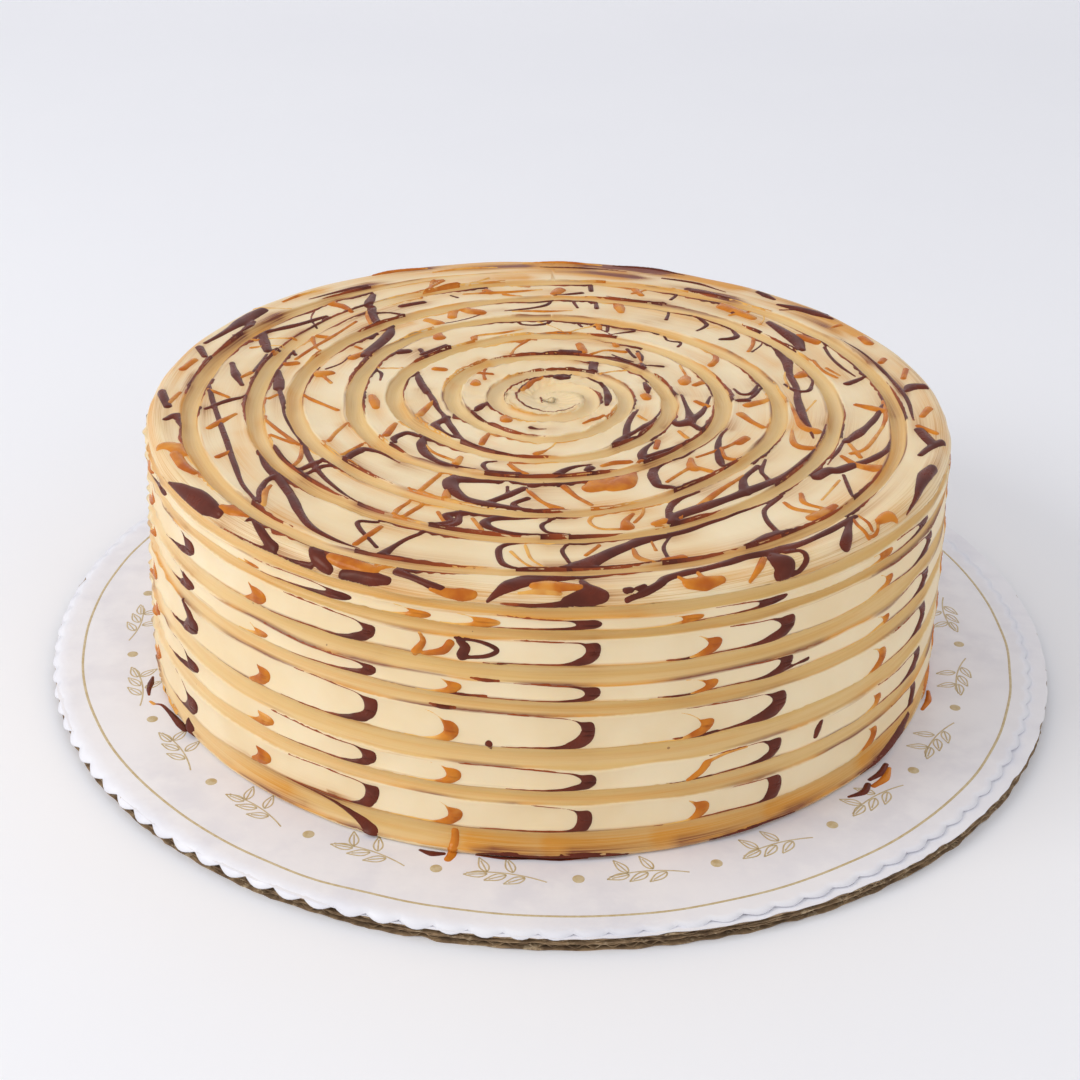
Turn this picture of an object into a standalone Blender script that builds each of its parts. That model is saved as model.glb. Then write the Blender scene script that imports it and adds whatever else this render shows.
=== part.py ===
"""Salted caramel cake on its round card.

A tall round layer cake covered in pale frosting. A round comb has been run round its
side in level grooves and over its top in one spiral groove. Chocolate and caramel lines
run down the side and over the top, and show where the comb left the frosting standing.
The cake stands on a scalloped paper liner on a thick round cake card.

Metres, +Z up. The origin is on the underside of the card, at its centre.
"""
import math

import bmesh
import bpy
from mathutils import Vector

# The card and the paper liner on it
CARD_RADIUS = 0.177
CARD_THICKNESS = 0.0047
CARD_SEGMENTS = 72
CARD_PLY_NOTCH = 0.0006
LINER_CENTRE = (-0.0032, -0.0032)
LINER_RADIUS = 0.1736
LINER_THICKNESS = 0.0004
SCALLOP_COUNT = 86
SCALLOP_DEPTH = 0.0020
SCALLOP_STEPS = 3
CONTACT_GAP = 0.0003

# The cake
CAKE_CENTRE = (-0.0030, -0.0054)
CAKE_HEIGHT = 0.0898
BASE_RADIUS = 0.1373
SHOULDER_RADIUS = 0.1345
RIM_RADIUS = 0.1292
RIM_BEND_SHARE = 0.984
RIM_BEND_INSET = 0.0012
FOOT_INSET = 0.0006
COLUMNS = 48

# The comb's level grooves in the side: upper and lower edge as shares of the height
SIDE_GROOVES = (
    (0.956, 0.916),
    (0.873, 0.832),
    (0.745, 0.680),
    (0.615, 0.553),
    (0.434, 0.360),
    (0.275, 0.210),
    (0.107, 0.018),
)
SIDE_GROOVE_DEPTH = 0.0024
SIDE_FLOOR_SHARE = 0.26
NARROW_LANDS = 1
RING_WAVE = 0.0005
RING_WAVE_TURN = 19.0
RING_WAVE_STEADY = 12.0
GIRTH_WAVE = 0.0004
GIRTH_WAVE_TURN = 5.0

# The comb's spiral groove in the top: its centre line's radius at each eighth of a turn,
# from its outer start at the back to the middle of the cake
SPIRAL_START_ANGLE = math.radians(90.0)
SPIRAL_STEPS = 8
SPIRAL_RADII = (
    0.1170, 0.1172, 0.1189, 0.1250, 0.1226, 0.1207, 0.1160, 0.1120,
    0.1062, 0.1015, 0.0988, 0.1036, 0.1042, 0.0976, 0.0963, 0.0937,
    0.0878, 0.0840, 0.0857, 0.0869, 0.0887, 0.0795, 0.0773, 0.0714,
    0.0678, 0.0675, 0.0660, 0.0686, 0.0655, 0.0605, 0.0587, 0.0565,
    0.0514, 0.0490, 0.0525, 0.0508, 0.0513, 0.0453, 0.0398, 0.0372,
    0.0325, 0.0325, 0.0330, 0.0340, 0.0355, 0.0295, 0.0255, 0.0220,
    0.0187, 0.0167, 0.0180, 0.0205, 0.0195, 0.0175, 0.0136, 0.0095,
    0.0075, 0.0060, 0.0047,
)
SPIRAL_HALF_WIDTH = 0.0030
SPIRAL_SQUEEZE = 0.0009
SPIRAL_SQUEEZE_ANGLE = math.radians(290.0)
SPIRAL_SQUEEZE_RADIUS = 0.1200
SPIRAL_FLOOR_SHARE = 0.5
SPIRAL_DEPTH = 0.0028
SPIRAL_TAPER_RADIUS = 0.0120
SPIRAL_START_WIDTH = 0.0006
SPIRAL_FADE_TURNS = 0.14
TOP_WAVE = 0.0003
TOP_WAVE_TURN = 60.0

# The lines of chocolate and caramel: where each runs down the side, in degrees
CHOCOLATE_ANGLES = (2.5, 31, 62, 92, 121, 151, 183, 215, 248, 275.5, 301, 332.5)
CARAMEL_ANGLES = (20, 47, 77, 106, 137, 167, 199, 231.5, 259, 290.5, 320.5, 351)
CHOCOLATE_WIDTH = 0.0058
CARAMEL_WIDTH = 0.0046
LINE_RISE = 0.0011
LINE_SINK = 0.0003
LINE_SHOULDER = 0.66
LINE_RIDGE = 0.55
LINE_ROOT = 0.0016
LINE_INSET = 0.0002
LINE_LEAN = 0.0012

# Thick strokes over the standing bands of the top, the band next to the rim being 0:
# band, angle in degrees at the band's outer and inner edge, width
TOP_STROKES = (
    (0, 5.0, 7.0, 0.0080),
    (0, 38.0, 41.0, 0.0090),
    (0, 84.0, 81.0, 0.0110),
    (0, 97.0, 95.0, 0.0100),
    (0, 152.0, 156.0, 0.0100),
    (0, 192.0, 191.0, 0.0060),
    (0, 217.0, 216.0, 0.0090),
    (0, 237.0, 231.0, 0.0044),
    (0, 264.0, 268.0, 0.0060),
    (0, 275.0, 273.0, 0.0060),
    (0, 300.0, 302.0, 0.0064),
    (0, 332.0, 336.0, 0.0064),
    (1, 42.0, 33.0, 0.0060),
    (1, 58.0, 52.0, 0.0090),
    (1, 131.0, 128.0, 0.0060),
    (1, 156.0, 162.0, 0.0056),
    (1, 184.0, 186.0, 0.0044),
    (1, 237.0, 220.0, 0.0056),
    (1, 247.5, 248.5, 0.0040),
    (1, 275.0, 292.0, 0.0066),
    (1, 306.0, 309.0, 0.0044),
    (1, 335.0, 331.0, 0.0056),
    (1, 357.0, 344.0, 0.0048),
    (2, 26.0, 10.0, 0.0056),
    (2, 148.0, 152.0, 0.0060),
    (2, 218.5, 218.0, 0.0056),
    (2, 261.0, 258.5, 0.0042),
    (2, 291.5, 296.0, 0.0044),
    (2, 312.0, 315.0, 0.0048),
    (3, 220.0, 217.0, 0.0050),
    (3, 257.0, 246.0, 0.0056),
    (3, 284.0, 287.0, 0.0090),
    (3, 297.0, 302.0, 0.0044),
    (4, 236.0, 222.0, 0.0048),
    (4, 273.0, 277.0, 0.0046),
    (5, 235.0, 214.0, 0.0044),
    (5, 308.0, 316.0, 0.0046),
)


def clear_scene() -> None:
    """Remove every object that the file starts with."""
    for item in list(bpy.data.objects):
        bpy.data.objects.remove(item, do_unlink=True)


def make_material(name: str, colour: tuple, roughness: float) -> bpy.types.Material:
    """Return a plain material of one colour and roughness, without any metal in it."""
    material = bpy.data.materials.new(name)
    material.use_nodes = True
    shader = material.node_tree.nodes["Principled BSDF"]
    shader.inputs["Base Color"].default_value = (*colour, 1.0)
    shader.inputs["Roughness"].default_value = roughness
    shader.inputs["Metallic"].default_value = 0.0
    return material


def add_object(name: str, vertices: list, faces: list, material=None) -> bpy.types.Object:
    """Make one object from its points and faces, triangulated, with its faces outwards."""
    mesh = bpy.data.meshes.new(name)
    mesh.from_pydata([tuple(point) for point in vertices], [], faces)
    shape = bmesh.new()
    shape.from_mesh(mesh)
    bmesh.ops.recalc_face_normals(shape, faces=shape.faces)
    bmesh.ops.triangulate(shape, faces=shape.faces)
    shape.to_mesh(mesh)
    shape.free()
    if material is not None:
        mesh.materials.append(material)
    item = bpy.data.objects.new(name, mesh)
    bpy.context.scene.collection.objects.link(item)
    return item


def smooth_over(item: bpy.types.Object, angle: float) -> None:
    """Shade the round stretches smooth and keep edges steeper than the angle sharp."""
    item.data.shade_smooth()
    item.data.set_sharp_from_angle(angle=math.radians(angle))


def ring_band(lower: int, upper: int, count: int) -> list:
    """Return the quads between two closed rings whose first points are given."""
    quads = []
    for i in range(count):
        j = (i + 1) % count
        quads.append((lower + i, lower + j, upper + j, upper + i))
    return quads


def turned_disc(name: str, profile: list, segments: int, material) -> bpy.types.Object:
    """Turn a profile of (radius, height) points, bottom to top, and close both ends flat."""
    vertices = []
    for radius, height in profile:
        for i in range(segments):
            angle = math.tau * i / segments
            vertices.append((radius * math.cos(angle), radius * math.sin(angle), height))
    faces = [tuple(range(segments - 1, -1, -1))]
    for row in range(len(profile) - 1):
        faces += ring_band(row * segments, (row + 1) * segments, segments)
    top = (len(profile) - 1) * segments
    faces.append(tuple(range(top, top + segments)))
    return add_object(name, vertices, faces, material)


def build_card() -> bpy.types.Object:
    """Build the card: two plies of corrugated board with a fine notch between them."""
    middle = CARD_THICKNESS / 2.0
    notched = CARD_RADIUS - CARD_PLY_NOTCH
    profile = [
        (notched, 0.0),
        (CARD_RADIUS, CARD_PLY_NOTCH),
        (CARD_RADIUS, middle - CARD_PLY_NOTCH),
        (notched, middle),
        (CARD_RADIUS, middle + CARD_PLY_NOTCH),
        (CARD_RADIUS, CARD_THICKNESS),
    ]
    brown = make_material("kraft_board", (0.30, 0.19, 0.11), 0.85)
    card = turned_disc("cake_card", profile, CARD_SEGMENTS, brown)
    smooth_over(card, 35.0)
    return card


def liner_edge_radius(step: int) -> float:
    """Return the liner's radius at one step of a scallop, lowest at the cusp."""
    across = math.pi * (step % SCALLOP_STEPS) / SCALLOP_STEPS
    return LINER_RADIUS - SCALLOP_DEPTH * (1.0 - math.sin(across))


def build_liner() -> bpy.types.Object:
    """Build the thin paper liner with its small scallops, flat on the card."""
    count = SCALLOP_COUNT * SCALLOP_STEPS
    underside = CARD_THICKNESS + CONTACT_GAP
    vertices = []
    for height in (underside, underside + LINER_THICKNESS):
        for i in range(count):
            angle = math.tau * i / count
            radius = liner_edge_radius(i)
            vertices.append((
                LINER_CENTRE[0] + radius * math.cos(angle),
                LINER_CENTRE[1] + radius * math.sin(angle),
                height,
            ))
    faces = [tuple(range(count - 1, -1, -1)), tuple(range(count, 2 * count))]
    faces += ring_band(0, count, count)
    white = make_material("liner_paper", (0.83, 0.82, 0.84), 0.55)
    return add_object("card_liner", vertices, faces, white)


def cake_floor() -> float:
    """Return the height of the cake's underside, just clear of the liner."""
    return CARD_THICKNESS + 2.0 * CONTACT_GAP + LINER_THICKNESS


def wall_radius(angle: float, share: float) -> float:
    """Return the radius of the standing frosting at a share of the cake's height."""
    even = BASE_RADIUS + (SHOULDER_RADIUS - BASE_RADIUS) * min(share, 1.0)
    return even + GIRTH_WAVE * math.sin(2.0 * angle + GIRTH_WAVE_TURN * share)


def wall_height(angle: float, share: float) -> float:
    """Return the height of a level line on the side, with the comb's slight wander."""
    steady = min(1.0, RING_WAVE_STEADY * share, RING_WAVE_STEADY * (1.0 - share))
    turned = RING_WAVE_TURN * share
    wander = math.sin(angle + turned) + 0.5 * math.sin(3.0 * angle + 0.6 * turned)
    return cake_floor() + CAKE_HEIGHT * share + RING_WAVE * steady * wander


def wall_point(angle: float, share: float, lift: float) -> Vector:
    """Return a point on the side, lifted off the standing frosting by the given amount."""
    radius = wall_radius(angle, share) + lift
    return Vector((
        CAKE_CENTRE[0] + radius * math.cos(angle),
        CAKE_CENTRE[1] + radius * math.sin(angle),
        wall_height(angle, share),
    ))


def top_point(angle: float, radius: float, lift: float) -> Vector:
    """Return a point on the top, lifted off the standing frosting by the given amount."""
    wave = TOP_WAVE * math.sin(2.0 * angle + TOP_WAVE_TURN * radius)
    return Vector((
        CAKE_CENTRE[0] + radius * math.cos(angle),
        CAKE_CENTRE[1] + radius * math.sin(angle),
        cake_floor() + CAKE_HEIGHT + wave + lift,
    ))


def side_rows() -> list:
    """Return the side's rows from the liner up, each as a share of height and a lift."""
    rows = [(0.0, -FOOT_INSET)]
    for upper, lower in reversed(SIDE_GROOVES):
        height = upper - lower
        rows.append((lower, 0.0))
        rows.append((lower + SIDE_FLOOR_SHARE * height, -SIDE_GROOVE_DEPTH))
        rows.append((upper - SIDE_FLOOR_SHARE * height, -SIDE_GROOVE_DEPTH))
        rows.append((upper, 0.0))
    return rows


def spiral_radius(turns: float) -> float:
    """Return the spiral groove's radius after some turns, on a smooth curve."""
    place = min(max(turns * SPIRAL_STEPS, 0.0), len(SPIRAL_RADII) - 1.0)
    i = min(int(place), len(SPIRAL_RADII) - 2)
    t = place - i
    before = SPIRAL_RADII[max(i - 1, 0)]
    start = SPIRAL_RADII[i]
    end = SPIRAL_RADII[i + 1]
    after = SPIRAL_RADII[min(i + 2, len(SPIRAL_RADII) - 1)]
    leave = 0.5 * (end - before)
    arrive = 0.5 * (after - start)
    bend = 2.0 * (start - end) + leave + arrive
    return start + leave * t + (3.0 * (end - start) - 2.0 * leave - arrive) * t**2 + bend * t**3


def spiral_half_width(turns: float) -> float:
    """Return half the spiral groove's width, which is least at the front of the outer turns."""
    angle = SPIRAL_START_ANGLE + math.tau * turns
    radius = spiral_radius(turns)
    facing = max(0.0, math.cos(angle - SPIRAL_SQUEEZE_ANGLE))
    wide = SPIRAL_HALF_WIDTH - SPIRAL_SQUEEZE * facing * radius / SPIRAL_SQUEEZE_RADIUS
    full = wide * min(1.0, radius / SPIRAL_TAPER_RADIUS)
    fade = min(1.0, turns / SPIRAL_FADE_TURNS)
    return SPIRAL_START_WIDTH + (full - SPIRAL_START_WIDTH) * fade


def spiral_section(step: int) -> list:
    """Return the groove's four points at one column: edge, floor, floor, edge."""
    turns = step / COLUMNS
    angle = SPIRAL_START_ANGLE + math.tau * turns
    radius = spiral_radius(turns)
    half = spiral_half_width(turns)
    depth = SPIRAL_DEPTH * min(1.0, turns / SPIRAL_FADE_TURNS)
    floor = half * SPIRAL_FLOOR_SHARE
    return [
        top_point(angle, radius + half, 0.0),
        top_point(angle, radius + floor, -depth),
        top_point(angle, radius - floor, -depth),
        top_point(angle, radius - half, 0.0),
    ]


def angle_of(column: int) -> float:
    """Return the direction of a column, the first at the spiral's start."""
    return SPIRAL_START_ANGLE + math.tau * column / COLUMNS


def side_mesh() -> tuple:
    """Return the points and faces of the underside, the side and the rounded rim."""
    vertices = [Vector((*CAKE_CENTRE, cake_floor()))]
    faces = []
    rows = [[wall_point(angle_of(i), *row) for i in range(COLUMNS)] for row in side_rows()]
    rows.append([
        wall_point(angle_of(i), RIM_BEND_SHARE, -RIM_BEND_INSET) for i in range(COLUMNS)
    ])
    rows.append([top_point(angle_of(i), RIM_RADIUS, 0.0) for i in range(COLUMNS)])
    for row in rows:
        vertices += row
    for i in range(COLUMNS):
        faces.append((0, 1 + (i + 1) % COLUMNS, 1 + i))
    for r in range(len(rows) - 1):
        faces += ring_band(1 + r * COLUMNS, 1 + (r + 1) * COLUMNS, COLUMNS)
    return vertices, faces, 1 + (len(rows) - 1) * COLUMNS


def fan(outline: list) -> list:
    """Return the triangles from the outline's first point to all its other edges."""
    return [(outline[0], outline[i], outline[i + 1]) for i in range(1, len(outline) - 1)]


def top_mesh(vertices: list, faces: list, rim: int) -> None:
    """Add the top inside the rim: the spiral groove as one strip, and its two ends."""
    last = int((len(SPIRAL_RADII) - 1) / SPIRAL_STEPS * COLUMNS)
    first = len(vertices)
    for step in range(last + 1):
        vertices += spiral_section(step)
    middle = len(vertices)
    vertices.append(top_point(0.0, 0.0, -SPIRAL_DEPTH))

    def at(step: int, place: int) -> int:
        return first + 4 * step + place

    for step in range(COLUMNS - 1):
        faces.append((rim + step, rim + step + 1, at(step + 1, 0), at(step, 0)))
    crescent = [at(COLUMNS - 1, 0), rim + COLUMNS - 1, rim]
    crescent += [at(0, place) for place in range(4)]
    crescent.append(at(COLUMNS, 0))
    faces += fan(crescent)
    for step in range(last):
        for place in range(3):
            faces.append((
                at(step, place), at(step + 1, place),
                at(step + 1, place + 1), at(step, place + 1),
            ))
        if step + 1 + COLUMNS <= last:
            faces.append((
                at(step, 3), at(step + 1, 3),
                at(step + 1 + COLUMNS, 0), at(step + COLUMNS, 0),
            ))
        elif step + COLUMNS == last:
            end = [at(step, 3), at(step + 1, 3), middle]
            end += [at(last, place) for place in (3, 2, 1, 0)]
            faces += fan(end)
        else:
            faces.append((at(step, 3), at(step + 1, 3), middle))


def add_stroke(name: str, centre: Vector, along: Vector, out: Vector, length: float,
               width: float) -> bpy.types.Object:
    """Build one low stroke of sauce, its rim sunk in the frosting and a ridge above."""
    across = along.cross(out).normalized()
    half = length / 2.0
    outline = ((1, 0), (LINE_SHOULDER, 1), (-LINE_SHOULDER, 1),
               (-1, 0), (-LINE_SHOULDER, -1), (LINE_SHOULDER, -1))
    vertices = []
    for forward, aside in outline:
        place = centre + along * (half * forward) + across * (0.5 * width * aside)
        vertices.append(place - out * LINE_SINK)
    for forward in (LINE_RIDGE, -LINE_RIDGE):
        vertices.append(centre + along * (half * forward) + out * LINE_RISE)
    vertices.append(centre - out * LINE_ROOT)
    faces = [(0, 1, 6), (1, 2, 7, 6), (2, 3, 7), (3, 4, 7), (4, 5, 6, 7), (5, 0, 6)]
    faces += [((i + 1) % 6, i, 8) for i in range(6)]
    return add_object(name, vertices, faces)


def side_lands() -> list:
    """Return the side's wider standing bands, each as its lower and upper share."""
    return [
        (SIDE_GROOVES[i + 1][0], SIDE_GROOVES[i][1])
        for i in range(NARROW_LANDS, len(SIDE_GROOVES) - 1)
    ]


def side_drops(name: str, angles: tuple, width: float) -> list:
    """Build what shows of each line of sauce on each wider band of the side."""
    drops = []
    for degrees in angles:
        angle = math.radians(degrees)
        out = Vector((math.cos(angle), math.sin(angle), 0.0))
        lean = Vector((-math.sin(angle), math.cos(angle), 0.0)) * LINE_LEAN
        for lower, upper in side_lands():
            bottom = wall_point(angle, lower, 0.0)
            top = wall_point(angle, upper, 0.0) + lean
            length = (top - bottom).length - 2.0 * LINE_INSET
            along = (top - bottom).normalized()
            drops.append(add_stroke(name, (top + bottom) / 2.0, along, out, length, width))
    return drops


def band_edges(band: int, angle: float) -> tuple:
    """Return the outer and inner radius of a standing band of the top at an angle."""
    part_turn = ((angle - SPIRAL_START_ANGLE) / math.tau) % 1.0
    own_turns = band + part_turn
    inner = spiral_radius(own_turns) + spiral_half_width(own_turns)
    if band == 0:
        return RIM_RADIUS, inner
    outer_turns = own_turns - 1.0
    return spiral_radius(outer_turns) - spiral_half_width(outer_turns), inner


def top_drops(name: str) -> list:
    """Build the thick strokes over the standing bands of the top."""
    drops = []
    up = Vector((0.0, 0.0, 1.0))
    for band, outer_degrees, inner_degrees, width in TOP_STROKES:
        outer_angle = math.radians(outer_degrees)
        inner_angle = math.radians(inner_degrees)
        start = top_point(outer_angle, band_edges(band, outer_angle)[0], 0.0)
        end = top_point(inner_angle, band_edges(band, inner_angle)[1], 0.0)
        length = (end - start).length - 2.0 * LINE_INSET
        along = (end - start).normalized()
        drops.append(add_stroke(name, (start + end) / 2.0, along, up, length, width))
    return drops


def fuse(body: bpy.types.Object, pieces: list) -> None:
    """Join small pieces to the body in one union and remove them."""
    collection = bpy.data.collections.new("sauce_lines")
    bpy.context.scene.collection.children.link(collection)
    for piece in pieces:
        bpy.context.scene.collection.objects.unlink(piece)
        collection.objects.link(piece)
    union = body.modifiers.new("fuse", "BOOLEAN")
    union.operation = "UNION"
    union.operand_type = "COLLECTION"
    union.collection = collection
    union.solver = "MANIFOLD"
    bpy.context.view_layer.objects.active = body
    bpy.ops.object.modifier_apply(modifier=union.name)
    for piece in pieces:
        bpy.data.objects.remove(piece, do_unlink=True)
    bpy.data.collections.remove(collection)


def build_cake() -> bpy.types.Object:
    """Build the frosted cake with the comb's grooves and the lines of sauce fused on."""
    vertices, faces, rim = side_mesh()
    top_mesh(vertices, faces, rim)
    cream = make_material("frosting", (0.87, 0.74, 0.42), 0.45)
    cake = add_object("cake", vertices, faces, cream)
    drops = side_drops("chocolate", CHOCOLATE_ANGLES, CHOCOLATE_WIDTH)
    drops += side_drops("caramel", CARAMEL_ANGLES, CARAMEL_WIDTH)
    drops += top_drops("stroke")
    fuse(cake, drops)
    smooth_over(cake, 40.0)
    return cake


def main() -> None:
    """Build the whole object in an empty scene."""
    clear_scene()
    build_card()
    build_liner()
    build_cake()


main()
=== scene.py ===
"""Looks of the salted caramel cake on its card.

The frosting is one skin that follows the comb's level grooves up the side, rounds the rim
and winds inwards along the spiral groove of the top. Chocolate and caramel lie on it as
thin sheets whose edges are sunk into it. Under the cake are a printed, scalloped paper
liner and a corrugated cake card. Metres, +Z up, origin under the card's centre.
"""
import logging
import math
import random
from collections.abc import Callable
from dataclasses import dataclass, field
from enum import Enum
from functools import lru_cache

import bpy
import numpy as np
from mathutils import Matrix, Vector


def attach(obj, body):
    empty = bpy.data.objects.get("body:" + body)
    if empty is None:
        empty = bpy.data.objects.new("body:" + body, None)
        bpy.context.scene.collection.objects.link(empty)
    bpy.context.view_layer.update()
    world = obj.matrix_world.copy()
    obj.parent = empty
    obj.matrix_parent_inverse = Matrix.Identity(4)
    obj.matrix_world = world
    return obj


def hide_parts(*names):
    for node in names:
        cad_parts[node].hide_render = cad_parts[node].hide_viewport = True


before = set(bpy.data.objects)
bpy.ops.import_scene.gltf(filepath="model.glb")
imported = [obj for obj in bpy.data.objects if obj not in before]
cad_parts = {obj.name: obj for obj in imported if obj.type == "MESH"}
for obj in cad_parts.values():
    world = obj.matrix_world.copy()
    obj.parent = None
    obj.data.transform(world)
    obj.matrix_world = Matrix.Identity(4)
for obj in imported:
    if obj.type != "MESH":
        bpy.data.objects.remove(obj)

LOG = logging.getLogger("caramel_cake")
MM = 0.001
TAU = math.tau
Array = np.ndarray
Socket = bpy.types.NodeSocket
Feed = Socket | float | tuple


class Sauce(Enum):
    """The two sauces poured over the cake."""

    CHOCOLATE = "chocolate"
    CARAMEL = "caramel"


def srgb(red: float, green: float, blue: float) -> tuple:
    """Return a linear colour for three display values from 0 to 255.

    Args:
        red: The red value.
        green: The green value.
        blue: The blue value.

    Returns:
        The linear colour with full alpha.
    """
    parts = [value / 255.0 for value in (red, green, blue)]
    return tuple(p / 12.92 if p < 0.04045 else ((p + 0.055) / 1.055) ** 2.4 for p in parts) + (1.0,)


def smooth_step(low: float, high: float, value: Array) -> Array:
    """Return a smooth rise from 0 at low to 1 at high.

    Args:
        low: Where the rise starts.
        high: Where the rise ends.
        value: The values to read.

    Returns:
        The share of the rise at each value.
    """
    share = np.clip((value - low) / (high - low), 0.0, 1.0)
    return share * share * (3.0 - 2.0 * share)


@lru_cache(maxsize=None)
def wander_table(seed: int, slow: int, fast: int, terms: int) -> Array:
    """Return one round of a seeded wander: a sum of sines with whole counts.

    Args:
        seed: The seed.
        slow: The smallest count of waves in a round.
        fast: The largest count of waves in a round.
        terms: The number of sines.

    Returns:
        The values round the whole turn, of size one.
    """
    draw = random.Random(seed)
    angle = TAU * np.arange(8193) / 8192
    total = np.zeros_like(angle)
    power = 0.0
    for _ in range(terms):
        count = draw.randint(slow, fast)
        weight = math.sqrt(slow / count)
        total += weight * np.sin(count * angle + draw.uniform(0.0, TAU))
        power += weight * weight / 2.0
    return total / math.sqrt(power)


@dataclass(frozen=True)
class Wander:
    """A seeded smooth wander round a full turn."""

    seed: int
    size: float
    slow: int = 3
    fast: int = 40
    terms: int = 9

    def at(self, angle: Array) -> Array:
        """Return the wander at some angles.

        Args:
            angle: Angles in radians.

        Returns:
            The offsets, in the unit of the wander's size.
        """
        table = wander_table(self.seed, self.slow, self.fast, self.terms)
        place = np.mod(angle, TAU) * ((len(table) - 1) / TAU)
        return self.size * np.interp(place, np.arange(len(table)), table)


@dataclass(frozen=True)
class CakeForm:
    """The shape of the combed frosting, the same as the solid's, with its finer relief.

    A place on the skin is an angle and a run: the distance from the middle of the top,
    outwards over the rim and down the side.
    """

    centre: tuple = (-0.0030, -0.0054)
    floor: float = 0.0057
    height: float = 0.0898
    base_radius: float = 0.1373
    shoulder_radius: float = 0.1345
    rim_round: float = 0.0051
    foot_inset: float = 0.0006
    side_grooves: tuple = (
        (0.956, 0.916), (0.873, 0.832), (0.745, 0.680), (0.615, 0.553),
        (0.434, 0.360), (0.275, 0.210), (0.107, 0.018),
    )
    side_depth: float = 0.0016
    ring_wave: float = 0.0005
    ring_wave_turn: float = 19.0
    ring_wave_steady: float = 12.0
    girth_wave: float = 0.0004
    girth_wave_turn: float = 5.0
    spiral_start: float = math.radians(90.0)
    spiral_steps: int = 8
    spiral_radii: tuple = (
        0.1170, 0.1172, 0.1189, 0.1250, 0.1226, 0.1207, 0.1160, 0.1120,
        0.1062, 0.1015, 0.0988, 0.1036, 0.1042, 0.0976, 0.0963, 0.0937,
        0.0878, 0.0840, 0.0857, 0.0869, 0.0887, 0.0795, 0.0773, 0.0714,
        0.0678, 0.0675, 0.0660, 0.0686, 0.0655, 0.0605, 0.0587, 0.0565,
        0.0514, 0.0490, 0.0525, 0.0508, 0.0513, 0.0453, 0.0398, 0.0372,
        0.0325, 0.0325, 0.0330, 0.0340, 0.0355, 0.0295, 0.0255, 0.0220,
        0.0187, 0.0167, 0.0180, 0.0205, 0.0195, 0.0175, 0.0136, 0.0095,
        0.0075, 0.0060, 0.0047,
    )
    swing: float = 0.0026
    swing_turn: float = 0.43
    swing_reach: float = 0.045
    spiral_half: float = 0.0030
    squeeze: float = 0.0009
    squeeze_angle: float = math.radians(290.0)
    squeeze_radius: float = 0.1200
    spiral_depth: float = 0.0019
    spiral_taper: float = 0.0120
    spiral_start_half: float = 0.0006
    spiral_fade: float = 0.14
    worn_turn: float = 1.13
    worn_reach: float = 0.055
    worn_share: float = 0.8
    loose_span: tuple = (0.004, 0.030)
    loose_shares: tuple = (0.4, 5.0)
    depth_span: tuple = (0.006, 0.018)
    depth_shares: tuple = (0.15, 0.85)
    top_wave: float = 0.0003
    top_wave_turn: float = 60.0
    dish_radius: float = 0.0125
    dish_depth: float = 0.0021
    side_wander: float = 0.00028
    top_wander: float = 0.00022
    lip_height: float = 0.00040
    curl: float = 2.4
    curl_angle: float = math.radians(190.0)
    curl_reach: float = 0.3
    lip_reach: float = 0.0011
    swell: float = 0.00016

    @property
    def turns(self) -> float:
        """Return the number of turns of the spiral groove."""
        return (len(self.spiral_radii) - 1) / self.spiral_steps

    @property
    def round_radius(self) -> float:
        """Return the radius at which the flat top starts to round over."""
        share = 1.0 - self.rim_round / self.height
        girth = self.base_radius + (self.shoulder_radius - self.base_radius) * share
        return girth - self.rim_round

    @property
    def wall_run(self) -> float:
        """Return the run at which the rounded rim meets the side."""
        return self.round_radius + self.rim_round * math.pi / 2.0

    @property
    def foot_run(self) -> float:
        """Return the run at the foot of the side."""
        return self.wall_run + self.height - self.rim_round

    def run_of_share(self, share: float) -> float:
        """Return the run of a share of the cake's height on the side."""
        return self.foot_run - share * self.height

    def skin(self, angle: Array, run: Array) -> tuple:
        """Return the points and outward directions of the plain skin.

        Args:
            angle: Angles in radians.
            run: Distances from the middle of the top over the rim, in metres.

        Returns:
            The points and the unit normals, each with a row per place.
        """
        angle, run = np.broadcast_arrays(np.asarray(angle, float), np.asarray(run, float))
        turned = np.clip((run - self.round_radius) / self.rim_round, 0.0, math.pi / 2.0)
        down = np.maximum(run - self.wall_run, 0.0)
        share = 1.0 - (self.rim_round * (1.0 - np.cos(turned)) + down) / self.height
        radius = np.minimum(run, self.round_radius) + self.rim_round * np.sin(turned)
        girth = self.base_radius + (self.shoulder_radius - self.base_radius) * share
        on_wall = smooth_step(self.round_radius, self.wall_run, run)
        widest = self.round_radius + self.rim_round
        radius = radius + on_wall * (girth - widest)
        radius = radius + on_wall * self.girth_wave * np.sin(2.0 * angle + self.girth_wave_turn * share)
        steady = np.minimum(1.0, self.ring_wave_steady * np.minimum(share, 1.0 - share))
        turn = self.ring_wave_turn * share
        ring = np.sin(angle + turn) + 0.5 * np.sin(3.0 * angle + 0.6 * turn)
        top = np.sin(2.0 * angle + self.top_wave_turn * np.minimum(run, self.round_radius))
        height = self.floor + self.height * share
        height = height + on_wall * self.ring_wave * steady * ring
        height = height + (1.0 - on_wall) * self.top_wave * top
        points = np.stack([
            self.centre[0] + radius * np.cos(angle),
            self.centre[1] + radius * np.sin(angle),
            height,
        ], axis=-1)
        normals = np.stack([
            np.sin(turned) * np.cos(angle), np.sin(turned) * np.sin(angle), np.cos(turned),
        ], axis=-1)
        return points, normals

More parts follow.
